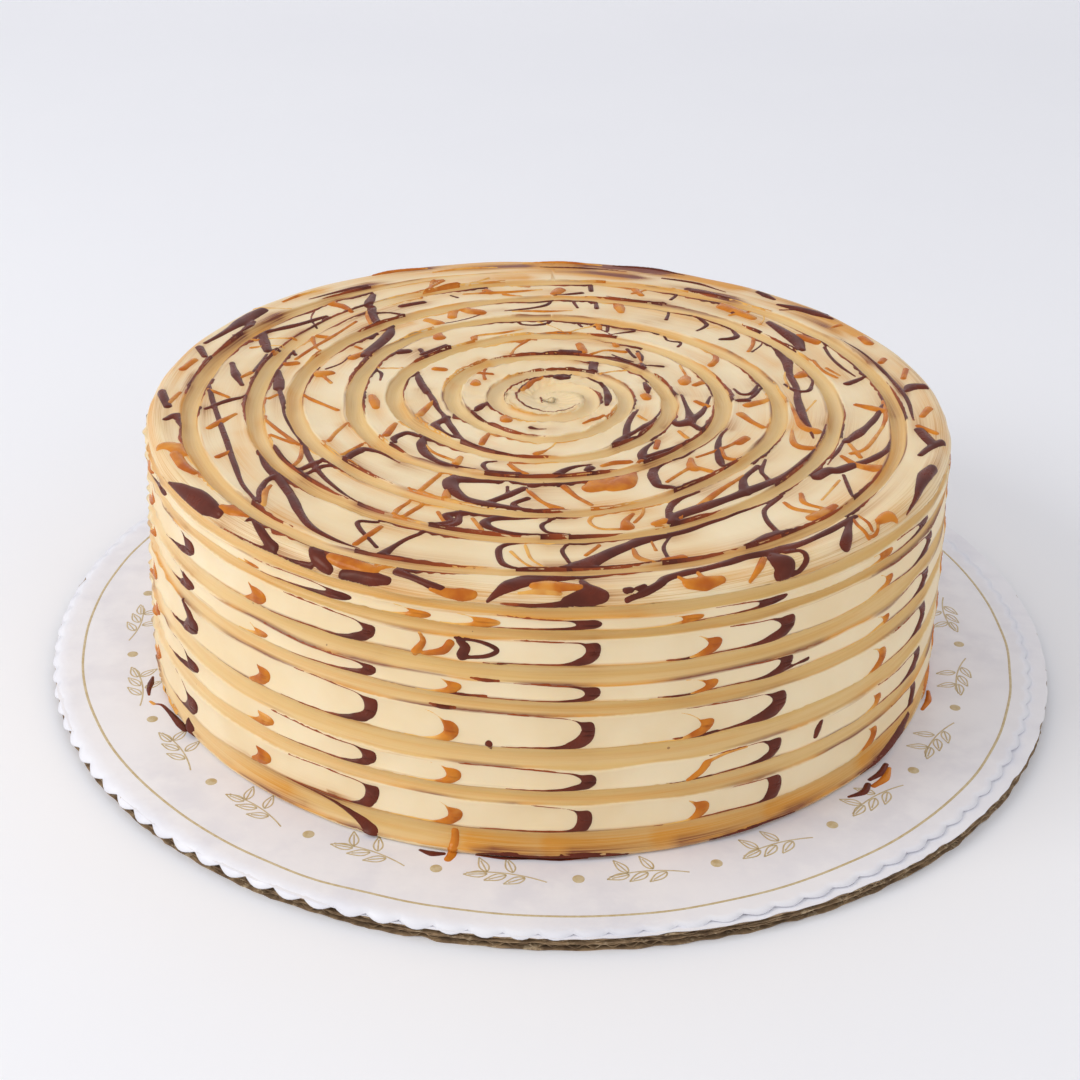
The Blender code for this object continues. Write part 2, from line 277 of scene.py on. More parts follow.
    def side_edges(self, groove: int, angle: Array) -> tuple:
        """Return the runs of the upper and lower edge of a level groove.

        Args:
            groove: The groove's number, from the top.
            angle: Angles in radians.

        Returns:
            The run of the upper edge and the run of the lower edge.
        """
        upper, lower = self.side_grooves[groove]
        upper_wander = Wander(100 + groove, self.side_wander, 3, 30, 12).at(angle)
        lower_wander = Wander(200 + groove, self.side_wander, 3, 30, 12).at(angle)
        return self.run_of_share(upper) + upper_wander, self.run_of_share(lower) + lower_wander

    def spiral_radius(self, turns: Array) -> Array:
        """Return the radius of the spiral groove's centre line after some turns.

        Args:
            turns: The turns from the outer start.

        Returns:
            The radii, on one smooth curve through the measured ones.
        """
        radii = np.asarray(self.spiral_radii)
        last = len(radii) - 1
        turns = np.asarray(turns, float)
        part = np.clip(turns * self.spiral_steps, 0.0, last)
        i = np.minimum(part.astype(int), last - 1)
        t = part - i
        before, start = radii[np.maximum(i - 1, 0)], radii[i]
        end, after = radii[i + 1], radii[np.minimum(i + 2, last)]
        leave, arrive = 0.5 * (end - before), 0.5 * (after - start)
        bend = 2.0 * (start - end) + leave + arrive
        swing = self.swing * np.exp(-(((turns - self.swing_turn) / self.swing_reach) ** 2))
        line = start + leave * t + (3.0 * (end - start) - 2.0 * leave - arrive) * t**2 + bend * t**3
        return line + swing

    def spiral_edges(self, turns: Array) -> tuple:
        """Return the inner and outer run of the spiral groove and its depth.

        Args:
            turns: The turns from the outer start.

        Returns:
            The inner run, the outer run and the depth.
        """
        turns = np.asarray(turns, float)
        radius = self.spiral_radius(turns)
        facing = np.maximum(0.0, np.cos(self.spiral_start + TAU * turns - self.squeeze_angle))
        fade = np.clip(turns / self.spiral_fade, 0.0, 1.0)
        full = self.spiral_half - self.squeeze * facing * radius / self.squeeze_radius
        full = full * np.minimum(1.0, radius / self.spiral_taper)
        half = self.spiral_start_half + (full - self.spiral_start_half) * fade
        least, more = self.loose_shares
        loose = fade * smooth_step(*self.loose_span, radius) * (least + more * radius)
        along = TAU * turns / 8.0
        inner, outer = (Wander(seed, self.top_wander, 14, 280, 26).at(along) for seed in (31, 37))
        inner, outer = radius - half + loose * inner, radius + half + loose * outer
        worn = 1.0 - self.worn_share * np.exp(-(((turns - self.worn_turn) / self.worn_reach) ** 2))
        least, more = self.depth_shares
        depth = self.spiral_depth * fade * worn * (least + more * smooth_step(*self.depth_span, radius))
        return inner, outer, depth

    def land_gap(self, angle: Array, run: Array) -> Array:
        """Return how far some places on the top and rim lie outside the nearest groove.

        Args:
            angle: Angles in radians.
            run: Distances from the middle of the top over the rim.

        Returns:
            The distances from the groove's edge, below zero in a groove.
        """
        gap = self.side_edges(0, angle)[0] - run
        part_turn = ((angle - self.spiral_start) / TAU) % 1.0
        for k in range(math.ceil(self.turns)):
            turns = k + part_turn
            inner, outer, depth = self.spiral_edges(np.minimum(turns, self.turns))
            away = np.abs(run - 0.5 * (inner + outer)) - 0.5 * (outer - inner)
            away = away + 0.004 * (1.0 - depth / self.spiral_depth)
            gap = np.where(turns <= self.turns, np.minimum(gap, away), gap)
        return gap

    def groove_profile(self, across: Array) -> Array:
        """Return the depth share of a groove across its width, from -1 to 1."""
        return np.clip(1.0 - np.abs(across) ** 2.2, 0.0, 1.0) ** 0.85

    def lip(self, gap: Array, angle: Array, run: Array) -> Array:
        """Return the height of the ragged lip beside a groove, curled on the left of the side.

        Args:
            gap: The distance outside the groove's edge.
            angle: Angles in radians.
            run: The runs of the places.

        Returns:
            The lip's height.
        """
        near = np.exp(-(((angle - self.curl_angle) / self.curl_reach) ** 2))
        curl = self.curl * near * (run > self.wall_run)
        bumps = np.clip(0.5 + Wander(67, 0.5, 60, 110).at(angle + 40.0 * run), 0.0, 1.5)
        ragged = 0.75 + Wander(61, 0.30, 9, 70).at(angle) + curl * bumps
        shape = np.exp(-(((gap - 0.35 * self.lip_reach) / (0.6 * self.lip_reach)) ** 2))
        return self.lip_height * ragged * np.where(gap > -1e-7, shape, 0.0)

    def relief(self, angle: Array, run: Array) -> tuple:
        """Return how far the frosting stands off the plain skin, and where it is grooved.

        Args:
            angle: Angles in radians.
            run: Distances from the middle of the top over the rim.

        Returns:
            The lift in metres and the groove's share, 1 in a groove and 0 on a land.
        """
        angle, run = np.broadcast_arrays(np.asarray(angle, float), np.asarray(run, float))
        lift = self.swell * (
            np.sin(5.0 * angle + 160.0 * run) + np.sin(11.0 * angle - 240.0 * run)
            + np.sin(23.0 * angle + 410.0 * run + 1.3)
        ) / 1.6
        groove = np.zeros_like(lift)
        for k in range(len(self.side_grooves)):
            low, high = self.side_edges(k, angle)
            lift, groove = self._cut(lift, groove, angle, run, low, high, self.side_depth)
        part_turn = ((angle - self.spiral_start) / TAU) % 1.0
        for k in range(math.ceil(self.turns)):
            turns = k + part_turn
            there = turns <= self.turns
            low, high, depth = self.spiral_edges(np.minimum(turns, self.turns))
            lift, groove = self._cut(lift, groove, angle, run, low, high, depth * there)
        lift = lift - self.dish_depth * (1.0 - smooth_step(0.35, 1.0, run / self.dish_radius))
        lift = lift - self.foot_inset * smooth_step(self.foot_run - 0.0012, self.foot_run, run)
        return lift, groove

    def _cut(self, lift: Array, groove: Array, angle: Array, run: Array,
             low: Array, high: Array, depth: Array) -> tuple:
        """Cut one groove between two runs into the lift and the groove share.

        Args:
            lift: The lift so far.
            groove: The groove share so far.
            angle: Angles in radians.
            run: The runs of the places.
            low: The groove's nearer edge.
            high: The groove's farther edge.
            depth: The groove's depth.

        Returns:
            The new lift and groove share.
        """
        half = 0.5 * (high - low)
        across = (run - 0.5 * (low + high)) / half
        share = self.groove_profile(across)
        cut = depth * share
        gap = (np.abs(across) - 1.0) * half
        shown = np.clip(depth / self.side_depth, 0.0, 1.0)
        lift = np.where(np.abs(across) < 1.0, -cut, lift + shown * self.lip(gap, angle, run))
        inside = smooth_step(1.02, 0.93, np.abs(across)) * shown
        return lift, np.maximum(groove, inside)

    def place(self, angle: Array, run: Array, lift: Array) -> Array:
        """Return points at a lift above the combed frosting.

        Args:
            angle: Angles in radians.
            run: Distances from the middle of the top over the rim.
            lift: Heights above the frosting.

        Returns:
            The points, a row per place.
        """
        points, normals = self.skin(angle, run)
        relief, _ = self.relief(angle, run)
        return points + normals * (relief + lift)[..., None]


@dataclass(frozen=True)
class Stroke:
    """One stroke of sauce: its widths in millimetres and its path as pairs of numbers."""

    sauce: Sauce
    widths: tuple
    path: tuple


def read_strokes(table: str) -> tuple:
    """Return the strokes of a table, in its order.

    A line names the sauce, dark for chocolate or amber for caramel, then the widths from
    the stroke's start to its end, and after a colon its points. An indented line goes on
    with the one before it.

    Args:
        table: The table.

    Returns:
        The strokes.
    """
    sauces = {"dark": Sauce.CHOCOLATE, "amber": Sauce.CARAMEL}
    strokes = []
    for line in table.strip().replace("\n  ", " ").splitlines():
        head, track = line.split(":")
        name, *widths = head.split()
        path = tuple(tuple(map(float, point.split())) for point in track.split(","))
        strokes.append(Stroke(sauces[name], tuple(map(float, widths)), path))
    return tuple(strokes)


# Strokes over the top, as angle in degrees and distance from the middle in millimetres.
# First the rounded rim, then the standing bands from the outside in.
RIM_STROKES = read_strokes("""
dark 3.4: 182.5 131, 188 127.5
amber 2.2: 183 124.5, 187 127.5
dark 3 4 3: 194 123, 191.5 125, 192.5 128
amber 3.4 5.4 6.4 5: 200.8 132.5, 201.8 129, 203.6 126.4, 205 124.8
amber 4 4.4 2.4: 204.6 128.8, 208.6 128.8, 211.4 127.6
dark 1.6 4.8 7 6.6 3.6: 209.6 136.2, 212.8 135, 216.6 133.8, 220 133, 222.6 133
amber 3.2 4.6 2.6: 222 130.8, 224.2 129.4, 226.8 128.2
dark 2.4 2.8 3.2 3.8: 227.5 128.3, 230.3 131.2, 232.5 133.5, 233.8 134.6
dark 2.4 1.1 0.8 0.5: 233.8 135.2, 231.5 135.9, 228.5 136, 224 136.1
dark 5.6 5 4.6 3: 239.6 130.2, 240.2 132, 241.4 133.8, 242.6 135
dark 1.8 1.1 0.6: 240 135.5, 236.7 135.9, 233.2 136
amber 3 5 4.6 3: 242 131.4, 244.3 131.6, 246.5 132, 248.3 131.8
amber 1.6: 248.3 131.4, 249.6 129.4, 251 128.4
dark 3 5 4.6 3: 244.6 135.2, 246.6 134.6, 248.6 134.2, 250.4 134
dark 2.8 2.6 2.4 2.8: 251.2 130.4, 253 131.2, 255 132.5, 257.3 134
amber 1.6 3.2 3.8 2.4: 256 134, 257.8 134.5, 259.8 134.5, 261.2 134.2
dark 1.2 2.8 5.2 5.6 4.6 3.2 2.2: 263 135.6, 264.2 132.8, 265.6 129.8, 267.2 127.8, 269 126.6, 271 125.8,
  273.4 125.2
amber 3 4.6 4.6 3: 268.4 129.6, 270.2 129.2, 272 129.8, 274 130.4
amber 1 1.8 1.2: 266.6 132.8, 269 132.2, 271.6 132.8
dark 2.4 4.8 6 4: 272.2 134.6, 274 133.8, 275.4 133, 276.6 133.4
dark 4.4 3.4 2: 275.4 132, 274.8 129.8, 274.4 127
dark 2.2 1.3 0.6: 272.8 135.2, 269 135.9, 264.6 136
dark 2.4: 279.6 132.1, 280.1 131.9
dark 1.5: 281 131.6, 282 130.6
dark 1.6 1.8 2.6 3.4 4.2 3.6 3 2.6 2.4 3.6 3.2 2.8 1.6: 279.5 134.9, 280.8 134, 282 133, 283.8 130.8,
  285.2 128.2, 287.8 126.8, 290.2 126.4, 294 125.8, 297 125, 301 125.2, 305.5 125.8, 311.5 125.2,
  317.8 124.6
amber 3.6 5.2 3: 287.5 131.8, 289.5 132.4, 291.8 132.2
amber 1.6: 286.6 128.2, 287.4 131.4
amber 1.6: 289.4 127.6, 289.6 131.6
amber 1.4 2.2 2.4: 295.4 134.6, 297.4 131, 299 127.6
dark 3.4 6.6 7.6 5.4 3: 300.4 126.8, 300.6 129.2, 300.8 131.4, 300.4 133.6, 299.4 135
dark 2.2 2 2 1.8 1: 302.6 127.4, 304.4 129, 304.3 132.4, 303 134.8, 301.4 135.8
dark 1.8 2.6 3.6: 316.5 124.6, 313.8 128.2, 310.9 133.2
amber 1.5: 316.8 125, 315.6 129.5, 315.2 134.2
amber 1.4: 318.2 124.8, 317.6 128.6, 316.6 132.6
amber 1.2: 315.2 134.2, 317 134.2, 318.6 131.4
amber 2.6 4.2 2.6: 319 131.2, 321.2 131.6, 321.8 134
dark 4 5 3.2 1.8 0.8: 337.6 131.4, 334.8 130.4, 331.5 131.2, 328.2 133, 324.5 134.8
dark 3.6 2.8 2.2: 346.5 131.5, 343.8 128, 340.8 125.8
dark 3.6 4.2: 345 128.6, 349.5 124
amber 2.4: 351 123.5, 349 129
amber 2.4 3: 354.5 125, 357.5 128
dark 2 5.2 4.8: 4 123, 5.6 125.8, 5.6 129.6
dark 1 2 1.4: 353 122, 2 121.4, 14 120
amber 2.2: 9 124.8, 12.4 128.6
amber 2.6: 15.7 122, 17 124.6
amber 4.6: 24 126.8, 26 127.4
amber 1.4 2.2: 32 123, 32.5 128
dark 0.8 1.5 1.9 1.2: 27 118.8, 20 119.6, 12 120.2, 5 121
dark 1.6 4.2 5 2.4: 45.5 123.6, 42 126, 38.5 128, 35.4 129.4
dark 2.4 3.4 1.8: 51.6 129.4, 49.6 128.4, 47.6 127.2
dark 0.8 2.2 1.2: 66 129.4, 72 130.4, 79 129.6
dark 0.7 1.6 0.8: 76 124, 84 124.6, 92 123.6
amber 1 2.4 1.4: 81 129, 88 130, 95 129
amber 0.9 2 1: 100 124.4, 106 125, 112 124.4
amber 1.4 3.4 2.4 1.2: 122.4 130.4, 119.3 130.8, 116 130.2, 112.4 129.4
dark 1.6 2.8 1.6 0.8: 125.8 121.2, 129 121.8, 133 122.4, 138 123.2
amber 0.9 2.2 1.4: 134.6 127.6, 138.6 128.2, 142 128
dark 4 6.8 6 3 2.2: 147 128, 150 127.6, 153.6 127, 158 127, 163.4 128.4
dark 2.6 3.6 2.2: 152 123.6, 155 121.6, 158.6 120.6
dark 3 1.8 1.4 1.4: 157.5 121, 163 120.6, 171 121.4, 180 122.6
dark 2.6 3.4: 168.6 123.6, 165.4 128.6
amber 3: 170.5 126, 174 127.6
""")

BAND_ONE = read_strokes("""
dark 1.8 2 2.2 2.2 2 1.8 1.6: 178 117, 186.5 113, 196 111, 205 112, 211.5 114.5, 218 118.4, 224 121.6
dark 2 2.6 2: 184.5 102.5, 186.5 108, 189.5 115
amber 1.8: 182 115, 185 108
amber 1.8 3 2.4: 192.4 105.6, 194.6 110.2, 197 115
amber 2.4: 206.8 113, 207.8 117.2
dark 1.4 3 3.9 3.4 3 2.6 1.8 1: 209 104.4, 213.7 105.8, 220.5 108, 226 111.4, 230.6 116.4, 235 120.8,
  239 122.6, 244 123.4
dark 3 2.4 2.2 2: 218.8 108, 219.4 111.7, 221.6 116.5, 224.8 121
amber 1.6 2.6 2.2: 221 112, 222.4 116, 225.6 121.4
dark 1.2 1.8 1.8 1.6: 242.6 108.2, 239.8 110.4, 241.4 114.2, 246 120.6
amber 2 2.6 3: 243.6 110, 243.4 115, 243 121.6
dark 1.8 2 2.8 4.4: 250.4 107.6, 248.8 113.2, 248 118.8, 247.6 123.6
dark 0.8 1.4 2.4 2.6 2.4 1.6: 270 106.4, 265.5 106.8, 263.2 108.6, 262.8 112, 263.8 118, 266 121.2
amber 1.3: 264.6 111.4, 267.2 118, 269.8 121.6
amber 1.2: 266.6 108, 267.8 114.8, 270.2 120.6
dark 1 1.5 1.5: 273.4 106, 272.2 109.6, 273 116
amber 1.4: 278 107, 275.6 112.5
dark 3.2 6 5.2 4.8 4.6 3.8 2.4 1.6 0.9: 272.2 119.8, 274.6 118.6, 277 115, 281.2 109.4, 287 104.6,
  293.6 102.6, 302 101.3, 309 100.7, 316 100.6
dark 2.4 1.8 1.2: 275.5 119.8, 281 119.8, 286 119
amber 1.4 2.2 2.2: 283 110.2, 283 115, 284.6 119
dark 1.2 1.7 1.5: 289.8 105.4, 287.6 111, 287 118.4
amber 1.4: 286.4 106.4, 286.2 112
amber 3 3.6: 286.4 118.8, 289 118.6
dark 1 1.8 2 2 1.8: 315 101.2, 312.4 101.8, 308.8 104, 306.6 109.3, 305.4 116.6
dark 2 3.8 2.6: 299 119, 303.5 117.4, 307.4 118.2
amber 1.6 2.2 2: 313.4 104.4, 312.8 109.4, 314.4 115
amber 1.6 2.2 2: 318 104.2, 315.7 108.8, 316.2 115
amber 3.6 4.6 3: 312.6 116.4, 315.4 116.8, 318 116.4
amber 1.1: 326.4 108.6, 318.5 111.2
dark 4.6 5.2 4.6 4 3 2.4 2 1.2 0.8: 325.2 102, 328.6 102.8, 329.6 105.4, 333 108.4, 336.5 112, 340.5 114.9,
  345 115.8, 350 116, 356 116
dark 1.5 1.4: 328.5 108.2, 322.4 117.4
amber 1.6 3.6 6: 335.2 103, 333.2 109.4, 333.6 115.4
dark 3.4 3.6 3 2.4 2: 341.8 101.8, 346 104.6, 350 107.4, 354 110, 358.4 112.8
dark 0.9 1.4 1: 330.8 101, 337 100.8, 343 100.8
amber 1.8: 340.8 103, 336.4 108.4
amber 1.7: 337 105, 340 108.4, 346.5 110.6, 353 112.8, 360 113.4
amber 2.6 3.4 3: 358.4 103.8, 357.2 108.6, 355.6 114.2
dark 3 3.2 2: 7.9 104, 9 107.4, 10.2 111.4
amber 1.8 2.2 1.6: 20 99.8, 15 99.4, 11 102
amber 1.4 1.6: 12 103.6, 16 101.6
dark 1 1.5 1.6 1.4: 11 108.6, 15.5 106.8, 20.2 107, 25 109.4
dark 4 5.6 5.4 3.4: 26 100.6, 30 103.4, 35 104.6, 40 106.4
amber 4.2 4: 27.5 109, 31.5 107
dark 2 3.6 2.6: 48 103.4, 50.5 106, 53.4 109.4
amber 4 5: 44 104.8, 52 106.2
dark 5 6 3.6: 54 112, 58 114.4, 62.6 115.4
dark 1.6: 63 101, 63 106
amber 3: 69.7 100, 72 105
dark 2.2: 81 99.4, 81.6 104.6
amber 3: 95 104, 100 106
amber 3.6: 110 108, 116 105
dark 3.4 4.2 3: 131.4 104.4, 129.6 107.6, 127.2 112.4
amber 2.4 4 3.4: 136 103.6, 135.6 110, 137 115.6
dark 2.2 3 2.6: 141.7 106, 147.4 108.4, 155 114
dark 3.2 4 3.4: 162.4 105, 159 109.6, 155.4 114.8
dark 1.4: 164 104, 173 103.2
dark 2.2 3 2.4: 179.4 104.6, 175 108.4, 170 112.6
amber 1.6 2.4: 176 106, 173.6 103.8
""")

BAND_TWO = read_strokes("""
dark 1.8 2 2.6 2.4 2.2 2 1.6 1: 178 92.6, 186.7 89.9, 196.9 89, 208 89.3, 213.7 91.5, 220.5 94.7,
  228.4 98.2, 236 101.6
amber 1.6 2 2.2 1.8: 209 91.2, 202 93.6, 197 96, 194.4 98
amber 1.6: 203 97, 208 92.4
amber 1.6: 183.4 92, 185.8 94.6
amber 1.4 2 1.8: 210 90.6, 214.9 95, 217 99.4
dark 2.2 3 2.4: 218.2 90, 218.6 94, 218.9 99
dark 0.8 1.4 2.4 2.2: 230 89.6, 223 89.8, 220.6 92, 221 99
dark 1.2 2.4 2: 208 98.4, 213.7 99.8, 221.6 100.8
amber 1.6 2.2 2: 243 92, 242.8 98, 243.6 102.8
amber 1.8 2.4 2.2: 245.8 92, 245.2 98, 245 102
dark 3 3.4 2.6 2.4: 254.8 92, 251.6 95.2, 253.2 98.4, 250.4 102
dark 2.2 2.6 2: 253.7 93.6, 254.2 99, 252 103
amber 1.5: 249.7 94.3, 252 99
amber 1.6: 256.4 94.6, 259 101
dark 0.9 2.2 3.2 3.6 3 2.4 1.2: 270 91, 264.4 91.7, 260.2 93.2, 258.9 96.2, 260.4 99.4, 264 101.2, 269 101.4
dark 1 1.8 1.8 1.2: 271.6 90.8, 269 94.6, 270 99.2, 273.6 100.6
amber 1.4: 279 89, 277.6 92.7, 279 97.2, 283.5 98.2
amber 1.4 2.4 4.6: 286.3 90.3, 284.2 94, 284 97
amber 1.3: 289.2 87.4, 288 91.1, 285.7 95.1
amber 3 3.8: 289 97.4, 291 96.6
dark 0.9 1.8 2.6 2.8 2.2 1.8: 303 84.8, 298.4 85.6, 295.4 87.6, 293.6 90.6, 292.4 94, 291.8 97
amber 1.9: 311.6 85.4, 303.7 88.6, 298.2 92.7, 293.6 96.8
amber 1.6: 316 84.4, 307.2 87.2, 301.5 91.2
dark 4.4 4.6 3.8 3.8 4 3.4 3 2.2 1.4 0.9: 292 98, 294 95, 300.4 92.8, 308 92, 316 92.7, 321.7 93.5,
  328 93.8, 335 93.9, 341 93.6, 348 93.4
dark 1.8 2.2 3.4 3.8: 322 83.6, 315.6 85.4, 312.6 88.8, 310.6 92.6
dark 1.2 1.6 2 2.2: 326 83, 320.6 86.4, 318.9 90, 317.8 93
amber 1.2 2.4 3.4 3.2: 344 83, 337.6 85.6, 335.8 88.8, 336.4 92.6
amber 1.2 1.9 2.8 4: 359 81.6, 351 83.4, 345.6 86.4, 344.2 91
dark 1 1.8 3 3.4 3.4 2.8 3 3.8 4.4 1.8: 341 91, 345.6 88.4, 350 85.8, 355 84.8, 361 84.4, 366.7 85.6,
  375 86.8, 381 90.2, 385 91.8, 390 92.8
amber 1: 353 85.8, 360 90.4
dark 1.2 1.6 1.8 1.2: 9 82.2, 5.2 84.8, 5.4 89.4, 10 92.8
amber 1.1: 6.7 83, 13.5 84.3, 19 89
amber 3 4.4: 13 88.6, 14 91.4
amber 1.7: 30.4 82.6, 33 87.4, 36 91.8
dark 2 3 2.8 1.2: 40 81, 38.8 84.6, 39.4 88.4, 43 91
dark 1.2 1.9 1.9 1: 48 80.6, 48 84.4, 49 88, 54 90.6
amber 3 4.4 3.4: 70.9 80.6, 72 84, 73.4 88
dark 1.9: 77.6 80.6, 78.8 88
dark 1.4: 82.7 79.8, 85 88
amber 4 5.4: 89 93.6, 88 98
dark 2: 105 97, 104.4 100
amber 3.8: 104 96.4, 104.6 98.6
dark 1.4: 112 95, 113 98
dark 2.4 3: 120.4 95, 126 95.6
dark 3 3.6 3.4: 136.4 88, 134 95.6, 131 102.6
amber 1.6 2 1.6: 138 89, 135.6 95, 133.6 100
amber 1.4 2 2 1.6: 139.5 94.4, 149.6 91.6, 158 91.8, 164 93
amber 2.8: 150.4 93, 151 96
amber 3.2: 166 91.6, 167.4 94.4
dark 2 2.2 1.6: 162 94.8, 160 99, 161.6 103.6
amber 2.4: 160.6 100, 163 102.4
dark 4 3.8 2: 180 92, 176 93, 171.4 95
""")

BAND_THREE = read_strokes("""
amber 1.9: 193.5 72.2, 188 77.8, 184 83
amber 1.4 1.8 1.8: 202 71.6, 206.4 77, 210 81.4
dark 0.8 1.6 3.4 3.6 3.2 3: 230 72.4, 222 72.6, 218 74.2, 218.3 77, 219 80, 220 83
amber 1.6 2.2 1.8: 215 73, 217 78.6, 218 82.6
amber 2.6 2 1.4: 222 83.6, 229 85.6, 240 86.8
amber 1.6 2 2.2: 242 71.4, 242.2 78, 242.6 84
amber 1.6 3.4: 247.4 80.6, 248.6 84.4
dark 2.6 4 4.8 5.4 4.8 4 4.4 4.4 2.4: 257.6 69.6, 251.6 70.4, 247.4 71.6, 246.2 74, 248 78.4, 252 82.6,
  256.6 84.6, 261.6 85.6, 266.4 85.8
dark 2.6 3.2 2.8: 264 72, 261 77, 257.8 82.4
dark 2.4 2.4 2: 265.4 78.6, 262.8 82.4, 264.6 85.6
dark 1.5: 260 72, 260.5 75.4
amber 1.7: 265.6 74, 268.6 80, 272.8 84.6
amber 1.2: 264.4 72, 267.4 78, 270.6 84
amber 2.4 1.9 1.8: 274 70, 276.6 77, 279 82.6
dark 3.6 3.4: 266 69.4, 269.6 67.6
dark 2.4 2: 272.6 67.4, 275 67.2
amber 6.4 7.6 5: 280.4 71.4, 282.6 70, 286 67
amber 7 8 6.4 3.4: 286 71.4, 289 70.4, 291.6 67.6, 293.6 64.8
dark 1 2 3 3.8 3.8 3.4 2.8: 308 63.4, 303 64, 299.8 66, 298 69, 297 72.6, 296.6 76, 299 78.8
amber 2 3.8 3.6: 313 66, 310.6 69, 309.6 71.6
amber 2.4 2.4: 310.8 71.6, 311.8 76
amber 1.6 1.6 1.4: 309.4 70, 304 72, 299.4 74.6
dark 0.9 1.6 2.2 2.8 2.8 2: 337 63.4, 330 64, 324.6 66.6, 320.4 70, 317.6 73.4, 316 76
amber 1.4 2 2.2: 324 68, 320.4 72.4, 320.8 75.6
amber 1.6: 315 66.4, 324 68.6, 333 70.6
amber 3.2: 330 70.6, 333.6 71.2
amber 3.4 2.8 2.6: 348.6 65.2, 345 69.4, 342.6 73.6
amber 3.6 4.4 3: 355.4 67, 357.6 70, 359.4 73.6
dark 2.6 3.4: 358.6 64, 359.4 67
dark 1.2 1.9 1.9 1.4: 8 64, 3.8 65.8, 4.6 69.4, 9.4 72.8
dark 1.2 1.7 1.4: 359 66.4, 2.4 69.6, 7 73.2
amber 3 2.4 2: 26.6 63.6, 29.2 67.4, 33 70.6
dark 1.2 1.4 1.4 1.2: 43.9 64, 45.6 67.4, 49.8 66, 54 69.6
dark 1.2 1.5 1.5 1.5 1.2: 89 67, 91 63, 95.6 61.4, 100 63, 101.4 67
dark 1.4 1.8: 79.3 62, 82.2 67
amber 2.6: 73.4 62.6, 74.4 65.6
dark 1.6: 70.2 61.8, 71 65
amber 4.8 3.4 2: 130.6 61.6, 129.4 64.4, 127.6 68
dark 3.6 4.2: 146.6 61, 148.4 63.2
dark 1 1.6 1.4: 172 58.8, 166 60.2, 164.2 62.8
dark 4.6 4.6 4.4 2.4: 155.4 72.4, 146.4 73.6, 140 76.6, 136 80.6
amber 4.4 5.2 4.4: 110 76.6, 112 79, 113.6 82.4
amber 4 4.6: 118.4 77, 116.4 82
amber 4.6 4: 124 73.6, 125.4 78.6
dark 1 1.9 2 1.4: 103 76.2, 96 77.4, 91.4 81, 89.6 86
amber 2.6 3.6: 154 73.4, 158.8 74.8
amber 3.6 5.4: 170 77, 171.2 80.6
amber 1.4: 176 75, 172 79
dark 1.2: 157.5 76.4, 163 76.4, 167.8 79.6
dark 2.4 3.2: 145 79, 142.4 81
amber 1.8: 151.9 76.4, 151.6 79
dark 0.8 1.2 0.8: 160 68.8, 170 68.4, 180 68.2
""")

